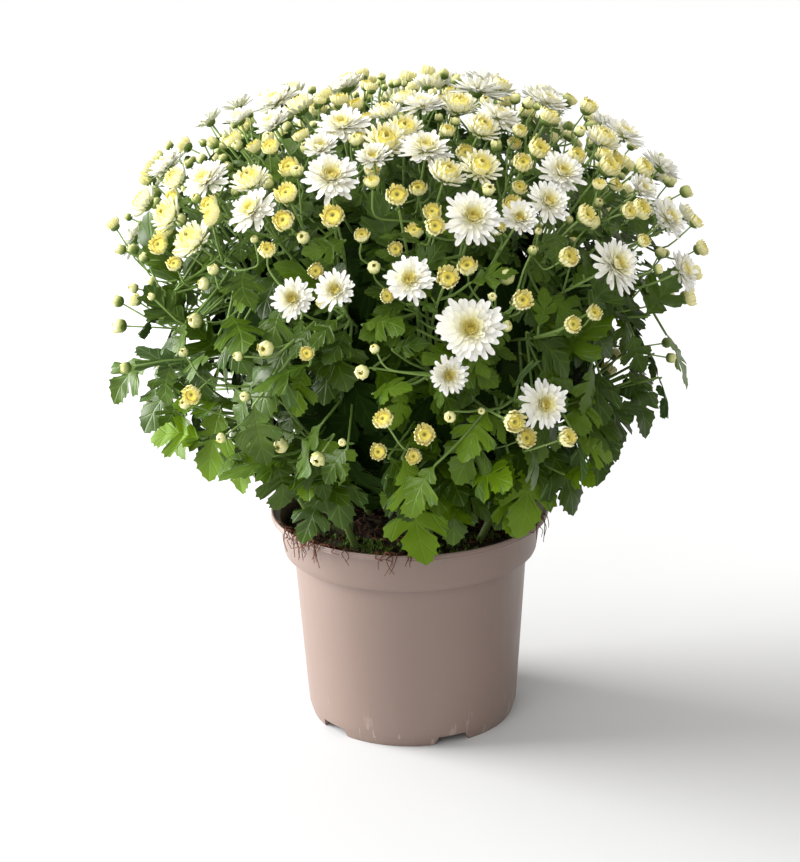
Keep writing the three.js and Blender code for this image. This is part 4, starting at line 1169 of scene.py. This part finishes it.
def build_stem(k, stem):
    """A stem's stalks, its leaves, and its half-open heads and buds."""
    draw = seeded(PIECE_SEED + k)
    stalks, leaves, small = Pile(), Pile(), Pile()
    tapering_tube(stalks, knots_on(stem.main, 10), *TUBES.main)
    branches = [knots_on(stem.main, 20)[7:]]
    for rank, head in enumerate(stem.heads):
        share = LIMB.first + LIMB.spread * rank / len(stem.heads)
        limb = limb_points(stem, head.stalk[0], share)
        branches.append(np.vstack([limb[:-1], knots_on(head.stalk, 8)]))
        tapering_tube(stalks, branches[-1], *TUBES.stalk)
        if not head.open:
            half_open_head(small, head)
    network = np.vstack(branches)
    for bud in stem.buds:
        facing = unit(bud.middle - bud.start)
        bud |= dict(facing=facing, diameter=2 * bud.radius, open=False)
        bud |= dict(turn=draw(0, 360), seed=int(draw(*BUD_SEEDS)))
    for head in stem.buds + [h for h in small_heads if h.stem is stem]:
        stalk_to(stalks, network, head)
        (half_open_head if head.open else closed_bud)(small, head)
    for leaf in stem.leaves:
        add_leaf(leaves, leaf, draw)
        if "deep" not in leaf:
            add_petiole(stalks, leaf, network)
    stalks.build(f"stalks_{k + 1:02d}", [STALK_SKIN], "foliage", [f"leafy_stem_{k + 1:02d}"])
    leaves.build(f"leaves_{k + 1:02d}", LEAF_MATERIALS, "foliage")
    small.build(f"half_open_heads_and_buds_{k + 1:02d}", HEAD_MATERIALS, "petals")


for k, head in enumerate(head for head in heads if head.open):
    pile = Pile()
    open_bloom(pile, head)
    pile.build(f"open_bloom_{k + 1:02d}", HEAD_MATERIALS, "petals", [f"bloom_{k + 1:02d}"])
for k, stem in enumerate(stems):
    build_stem(k, stem)

# ---- Pot ----

# [radius, height] from the middle of the floor's underside, out, up the wall and back down inside.
POT_OUTLINE = [
    (0, 9), (30, 9), (63.6, 9), (64.6, 7.5), (65.3, 0.8), (65.9, 0), (69.5, 0), (70.1, 0.6), (70.8, 3),
    (71.8, 6), (72.5, 8.5), (72.9, 14), (73.5, 23), (74.2, 34), (75.2, 48), (76.2, 63), (77.2, 78),
    (78.2, 93), (79.2, 108), (79.9, 118), (80.2, 119.4), (81.2, 120), (85.4, 120), (86.3, 120.4),
    (86.8, 121.6), (87.4, 126), (88.1, 131), (88.8, 136), (89.5, 140.5), (90, 143), (90.9, 144.1),
    (92.6, 144.6), (94.2, 144.7), (94.9, 145.1), (95.05, 145.7), (94.75, 146.2), (95.05, 146.7),
    (95.05, 147.4), (94.75, 147.8), (95, 148.3), (94.6, 148.9), (93.9, 149), (93.3, 148.6), (92.9, 147),
    (91.8, 145.6), (88.9, 144), (88.4, 142.6), (86.8, 132), (85.4, 122.6), (84.6, 121.7), (78.9, 121.5),
    (78.2, 120.5), (77.6, 108), (75.6, 78), (73.6, 48), (71.6, 18), (71.1, 12), (69.6, 11), (30, 11),
    (0, 11),
]
NOTCH_FOOT, NOTCH_TOP, NOTCH_REACHES = 13, 10, (58, 82)
DRAIN = Values(inward=16, height=10, half=3, sides=24)
POT_SIDES, SHARP_ANGLE, WELD = 168, 38, 0.00001


def revolve(pile, outline, sides, height_of=None):
    """A form turned about the upright axis. height_of gives the heights past the fixed outline."""
    radii, heights = np.asarray(outline, float).T[:, :, None]
    angles = angles_round(sides)[None]
    x, y, z = radii * np.sin(angles), -radii * np.cos(angles), np.repeat(heights, sides, 1)
    if height_of:
        z = np.where(np.isnan(z), height_of(x, y), z)
    faces = grid_faces(len(outline), sides, closed=True)
    pile.add(np.stack([x, y, z], -1), faces, places_round(sides, len(outline)))


def merged(piece):
    """Joins the doubled points that a turned form has on its axis."""
    made = bmesh.new()
    made.from_mesh(piece.data)
    bmesh.ops.remove_doubles(made, verts=made.verts, dist=WELD)
    bmesh.ops.recalc_face_normals(made, faces=made.faces)
    made.to_mesh(piece.data)
    made.free()


def add_notch(pile, azimuth):
    """A wedge through the foot ring, and a drain hole inside it."""
    spin = np.array([direction(azimuth + 90, 90), -direction(azimuth, 90), UP])
    top = NOTCHES.height
    section = [(-NOTCH_FOOT, -1), (NOTCH_FOOT, -1), (NOTCH_TOP, top), (-NOTCH_TOP, top)]
    corners = [(x, -reach, z) for reach in NOTCH_REACHES for x, z in section]
    faces = [[0, 1, 2, 3], [7, 6, 5, 4], [0, 4, 5, 1], [1, 5, 6, 2], [2, 6, 7, 3], [3, 7, 4, 0]]
    pile.add(np.array(corners) @ spin, faces)
    radius, half = POT.drain_radius, DRAIN.half
    drain = place_at(azimuth, POT.foot_radius - DRAIN.inward, DRAIN.height)
    plug = [(0, -half), (radius, -half), (radius, half), (0, half)]
    turned(pile, drain, UP, 0, plug, DRAIN.sides, [0] * 4)


def pot_material():
    """Taupe plastic: cloudy, with pale scuffs at the foot, grime and specks of peat on the band."""
    shader = Shader("taupe_plastic", 0.42, 0.8)
    place = shader.place()
    height = shader.split(place)[2]
    drawn_up = shader.node("Mapping", Vector=place, Scale=(1, 1, 0.16)).outputs[0]
    streaks = shader.noise(130.0, 4.0, drawn_up, 0.65)
    grain = shader.noise(1500.0, 2.0, place)
    base = shader.mix(shader.noise(9.0, 4.0, place), (0.194, 0.132, 0.107), (0.226, 0.157, 0.130))
    low = shader.math("SUBTRACT", 1.0, shader.math("DIVIDE", height, 0.03), clamp=True)
    scuffs = shader.times(shader.math("GREATER_THAN", streaks, 0.6), shader.times(low, 0.6))
    base = shader.mix(scuffs, base, (0.40, 0.32, 0.28))
    base = shader.mix(shader.times(shader.scaled(streaks, 5.0, -3.0), 0.25), base, (0.25, 0.19, 0.15))
    band = shader.scaled(shader.scaled(height, 60.0, -7.6), 0.7, 0.06)
    specks = shader.math("GREATER_THAN", shader.noise(420.0, 3.0, place, 0.7), 0.69)
    base = shader.mix(shader.times(specks, band), base, (0.10, 0.065, 0.04))
    shader.feed(shader.surface["Roughness"], shader.scaled(streaks, 0.22, 0.34))
    shader.bump(shader.math("MULTIPLY_ADD", streaks, 0.6, shader.times(grain, 0.5)), 0.25, 0.0004)
    return shader.colour(base)


pot_pile, cutter_pile = Pile(), Pile()
revolve(pot_pile, POT_OUTLINE, POT_SIDES)
pot = pot_pile.build("nursery_pot", [pot_material()], "pot_plastic", ["pot"])
merged(pot)
for k in range(NOTCHES.count):
    add_notch(cutter_pile, NOTCHES.azimuth + 360 / NOTCHES.count * k)
cutter = cutter_pile.build("cutter", [], "pot_plastic")
merged(cutter)
notching = pot.modifiers.new("notches", "BOOLEAN")
notching.operation, notching.solver, notching.object = "DIFFERENCE", "EXACT", cutter
bpy.context.view_layer.update()
cut = bpy.data.meshes.new_from_object(pot.evaluated_get(bpy.context.evaluated_depsgraph_get()))
pot.modifiers.clear()
pot.data = cut
pot.data.set_sharp_from_angle(angle=math.radians(SHARP_ANGLE))
bpy.data.objects.remove(cutter)

# ---- Soil, moss and roots ----

SOIL_OUTLINE = [
    (0, 11.35), (68, 11.35), (70.4, 12), (77.4, 119), (77.6, 121.9), (84.1, 121.9), (84.65, 126),
    (84.65, 134.5),
]
SOIL_ROWS = np.concatenate([np.linspace(84.6, 66, 12), np.linspace(64, 0, 34)])
SOIL_EDGE, SOIL_SIDES = 84.7, 150
SOIL_PROFILE = ([0, 40, 64, SOIL_EDGE], [143, 143, 140.5, 135.3])
CRUMBS = Values(count=420, reach=84, shares=(0.05, 0.97), size=(0.7, 2.3), lift=0.3, rows=5, columns=7)
CRUMBS |= dict(rough=(0.7, 1.15), flat=0.75, stretch=([0.8, 0.7, 0.6], [1.5, 1.1, 1.0]))
SPILLS = [(-46, 17, 46), (-5, 7, 20), (70, 12, 9), (150, 20, 14), (-140, 16, 12)]  # azimuth, spread, count
SPILLED = Values(spread=0.6, reach=(79, 89), pile=(0, 2.4), size=(0.9, 2.6))
LEDGE = ([79, 84, 89], [139, 141, 147.2])  # reach, and height there
HUNG = Values(per_crumb=0.9, spread=0.55, sway=1.6, fall=(0, 13), ends_on_rim=0.45)
HUNG |= dict(off=((0, 0.8), (0, 0.9)), radius=(0.35, 0.8), tip=0.22)
OVER_RIM = [(78, 140.5), (86, 145.5), (92.5, 150), (95.4, 150)]  # reach and height of a hung root
LAID = Values(count=150, reach=(15, 82), knots=4, lift=(0.2, 1.8), turn=7, step=5, limits=(8, 83))
LAID |= dict(radius=(0.2, 0.5))
TUFT = Values(count=260, azimuths=[-38, -20, 8, 40, 95, 160, -110], spread=13, reach=(56, 83))
TUFT |= dict(blades=11, lean=(0.1, 0.9), length=(1.4, 3.6), half_width=0.35, apart=1.0)
WAVE = Values(count=26, steepest=0.55, height=(0.1, 0.34), fade=8, least=0.2)
scatter = np.random.default_rng(5)
uniform, normal = scatter.uniform, scatter.normal
WAVES = np.hstack([
    uniform(-WAVE.steepest, WAVE.steepest, (WAVE.count, 2)),
    uniform(0, ROUND, (WAVE.count, 1)),
    uniform(*WAVE.height, (WAVE.count, 1)),
])


def soil_height(x, y):
    r = np.hypot(x, y)
    lumps = np.sin(x * LUMPS.waves[0] + 1) * np.cos(y * LUMPS.waves[1])
    lumps = lumps + LUMPS.share * np.sin(x * LUMPS.crossing[0] - y * LUMPS.crossing[1])
    fine = sum(h * np.sin(a * x + b * y + p) for a, b, p, h in WAVES)
    fine = fine * np.clip((SOIL_EDGE - r) / WAVE.fade, WAVE.least, 1)
    return np.interp(r, *SOIL_PROFILE) + LUMPS.height * lumps + fine


def place_on_soil(azimuth, reach):
    place = place_at(azimuth, reach, 0)
    place[2] = soil_height(place[0], place[1])
    return place


def soil_material():
    """Dark peat with lighter crumbs and patches of moss."""
    shader = Shader("potting_soil", 0.92, 0.15)
    place = shader.place()
    crumbs, fine = shader.noise(170.0, 5.0, place, 0.7), shader.noise(700.0, 3.0, place, 0.6)
    stops = [(0.3, (0.010, 0.007, 0.005)), (0.52, (0.032, 0.020, 0.013)), (0.72, (0.085, 0.048, 0.028))]
    patches = shader.scaled(shader.noise(38.0, 3.0, place), 9.0, -4.9)
    moss = shader.times(patches, shader.scaled(fine, 1.6, -0.4))
    shader.bump(shader.math("MULTIPLY_ADD", crumbs, 1.0, shader.times(fine, 0.4)), 0.9, 0.003)
    return shader.colour(shader.mix(moss, shader.ramp(crumbs, stops), (0.055, 0.10, 0.014)))


def add_crumb(pile, place, size, slot=0):
    """A crumb of peat: a small rough ball."""
    rows, columns = CRUMBS.rows, CRUMBS.columns
    up, turn = np.linspace(0, np.pi, rows)[:, None], angles_round(columns)
    radii = size * uniform(*CRUMBS.rough, (rows, columns))
    radii[0], radii[-1] = radii[0].mean(), radii[-1].mean()
    out = radii * np.sin(up)
    points = np.stack([out * np.cos(turn), out * np.sin(turn), radii * np.cos(up) * CRUMBS.flat], -1)
    faces = grid_faces(rows, columns, closed=True)
    pile.add(points * uniform(*CRUMBS.stretch) + place, faces, None, uniform(0, 1), slot)


def spill_crumb(pile, azimuth, spread):
    """A crumb on the inner ledge of the rim."""
    place = place_at(azimuth + normal(0, spread * SPILLED.spread), uniform(*SPILLED.reach), 0)
    place[2] = np.interp(math.hypot(place[0], place[1]), *LEDGE) + uniform(*SPILLED.pile)
    add_crumb(pile, place, uniform(*SPILLED.size), slot=1)


def hang_fibre(pile, azimuth, spread):
    """A root that lies over the rim, or hangs down outside it."""
    at = azimuth + normal(0, spread * HUNG.spread)
    fall = uniform(*HUNG.fall)
    route = list(OVER_RIM)
    if uniform() >= HUNG.ends_on_rim:
        route += [(96.3, 147), (96.6, 147 - fall * 0.5), (96.4, 146.5 - fall)]
    knots = []
    for r, z in route:
        at += normal(0, HUNG.sway)
        knots.append(place_at(at, r + uniform(*HUNG.off[0]), z + uniform(*HUNG.off[1])))
    path = smooth(knots, 3)
    tube(pile, path, np.linspace(uniform(*HUNG.radius), HUNG.tip, len(path)), 5)


def lay_fibre(pile):
    """A root that lies on the soil."""
    at, r = uniform(0, 360), uniform(*LAID.reach)
    knots = []
    for _ in range(LAID.knots):
        knots.append(place_on_soil(at, r) + UP * uniform(*LAID.lift))
        at += uniform(-LAID.turn, LAID.turn)
        r = np.clip(r + uniform(-LAID.step, LAID.step), *LAID.limits)
    tube(pile, smooth(knots, 3), uniform(*LAID.radius), 4)


def add_tuft(pile):
    """A tuft of moss: short blades of two quads each, which lean apart."""
    n = TUFT.blades
    azimuth = scatter.choice(TUFT.azimuths) + normal(0, TUFT.spread)
    place = place_on_soil(azimuth, uniform(*TUFT.reach))
    turn, lean, long = uniform(0, ROUND, n), uniform(*TUFT.lean, n), uniform(*TUFT.length, n)
    out = np.stack([np.cos(turn) * lean, np.sin(turn) * lean, np.ones(n)], -1) * long[:, None]
    side = np.stack([-np.sin(turn), np.cos(turn), np.zeros(n)], -1) * TUFT.half_width
    foot = place + normal(0, TUFT.apart, (n, 3)) * [1, 1, 0]
    middle, tip = foot + out * 0.6, foot + out * [1.2, 1.2, 0.9]
    edge = [(foot, -1), (foot, 1), (middle, 1.2), (middle, -1.2), (tip, 0.2), (tip, -0.2)]
    points = np.stack([at + side * wide for at, wide in edge], 1)
    pile.add(points, repeated_faces([[0, 1, 2, 3], [3, 2, 4, 5]], len(edge), n), None, uniform(0.1, 1))


soil_pile, crumbs, fibres, moss = Pile(), Pile(), Pile(), Pile()
revolve(soil_pile, SOIL_OUTLINE + [(r, math.nan) for r in SOIL_ROWS], SOIL_SIDES, soil_height)
SOIL_SKIN = soil_material()
soil = soil_pile.build("potting_soil", [SOIL_SKIN], "peat", ["soil"])
merged(soil)
for _ in range(CRUMBS.count):
    azimuth, share = uniform(0, 360), uniform(*CRUMBS.shares)
    place = place_on_soil(azimuth, CRUMBS.reach * math.sqrt(share)) + UP * CRUMBS.lift
    add_crumb(crumbs, place, uniform(*CRUMBS.size))
for azimuth, spread, count in SPILLS:
    for _ in range(count):
        spill_crumb(crumbs, azimuth, spread)
    for _ in range(int(count * HUNG.per_crumb)):
        hang_fibre(fibres, azimuth, spread)
for _ in range(LAID.count):
    lay_fibre(fibres)
for _ in range(TUFT.count):
    add_tuft(moss)
FIBRE = ramp_material("peat_fibre", 0.85, 0.2, 0.0, (260.0, 4.0), (0.7, 0.001), [
    (0.3, (0.035, 0.015, 0.009)), (0.55, (0.12, 0.045, 0.022)), (0.75, (0.24, 0.11, 0.06)),
])
MOSS = ramp_material("moss", 0.8, 0.2, 0.7, (300.0,), None, [
    (0.0, (0.03, 0.055, 0.01)), (0.6, (0.09, 0.16, 0.02)), (1.0, (0.19, 0.27, 0.05)),
])
crumbs.build("peat_crumbs", [SOIL_SKIN, FIBRE], "peat")
fibres.build("peat_fibres", [FIBRE], "peat")
moss.build("moss_tufts", [MOSS], "peat")

# ---- Floor, light and camera, in metres ----

FLOOR = 9.0
WORLD_COLOUR, WORLD_STRENGTH, SKY = (1.0, 0.965, 0.91, 1), 0.5, (1.0, 0.99, 0.97)
LIGHTS = [
    ("sky", "SUN", (-1.6, 0.3, 1.4), (0, 0, 0.2), dict(energy=2.25, angle=math.radians(40), color=SKY)),
    ("ceiling", "SUN", (-0.3, 0.15, 1.5), (0, 0, 0), dict(energy=0.95, angle=math.radians(100))),
    ("front_fill", "SUN", (-0.9, -2.2, 1.6), (0, 0, 0.25), dict(energy=1.1, angle=math.radians(50))),
    ("window", "AREA", (-2.3, 0.45, 0.7), (0, 0, 0.15), dict(energy=126, size=1.6)),
]
PHOTO_LONG_SIDE, FOCAL_PIXELS, SENSOR, FAR = 862, 2516, 36, 60
PITCH, ROLL = math.radians(19.0144), math.radians(-1.08036)
CAMERA_PLACE = (-0.00560, -1.61374, 0.75855)


def floor_material():
    """A pale floor with painted light: a little lighter towards the back."""
    shader = Shader("pale_floor", 0.7, 0.2)
    # Painted light: the floor's colour gets lighter towards the back.
    painted_back_light = shader.scaled(shader.split(shader.place())[1], 0.7, 0.2)
    return shader.colour(shader.mix(painted_back_light, (0.565, 0.57, 0.58), (0.69, 0.697, 0.711)))


def add_item(name, data, place, right, up, back):
    item = bpy.data.objects.new(name, data)
    bpy.context.scene.collection.objects.link(item)
    item.matrix_world = Matrix([[right[k], up[k], back[k], place[k]] for k in range(3)] + [[0, 0, 0, 1]])
    return item


def add_light(name, kind, place, aim, settings):
    """A light that shines from its place towards its aim."""
    data = bpy.data.lights.new(name, kind)
    for key, value in settings.items():
        setattr(data, key, value)
    back = unit(np.array(place, float) - aim)
    right = unit(np.cross(UP, back))
    add_item(name, data, place, right, np.cross(back, right), back).visible_camera = False


floor_mesh = bpy.data.meshes.new("floor")
corners = [(-FLOOR, -FLOOR, 0), (FLOOR, -FLOOR, 0), (FLOOR, FLOOR, 0), (-FLOOR, FLOOR, 0)]
floor_mesh.from_pydata(corners, [], [(0, 1, 2, 3)])
floor_mesh.materials.append(floor_material())
floor = bpy.data.objects.new("floor", floor_mesh)
bpy.context.scene.collection.objects.link(floor)

world = bpy.data.worlds.new("studio")
bpy.context.scene.world = world
world.use_nodes = True
background = world.node_tree.nodes["Background"]
background.inputs["Color"].default_value = WORLD_COLOUR
background.inputs["Strength"].default_value = WORLD_STRENGTH
for light in LIGHTS:
    add_light(*light)

ahead = np.array([0, math.cos(PITCH), -math.sin(PITCH)])
level = np.array([1.0, 0, 0])
above = np.cross(level, ahead)
camera_data = bpy.data.cameras.new("camera")
camera_data.sensor_width = SENSOR
camera_data.lens = FOCAL_PIXELS / PHOTO_LONG_SIDE * SENSOR
camera_data.clip_end = FAR
right, up = between(level, above, ROLL), between(above, level, -ROLL)
bpy.context.scene.camera = add_item("camera", camera_data, CAMERA_PLACE, right, up, -ahead)
bpy.context.scene.view_settings.view_transform = "Standard"

bpy.context.view_layer.update()
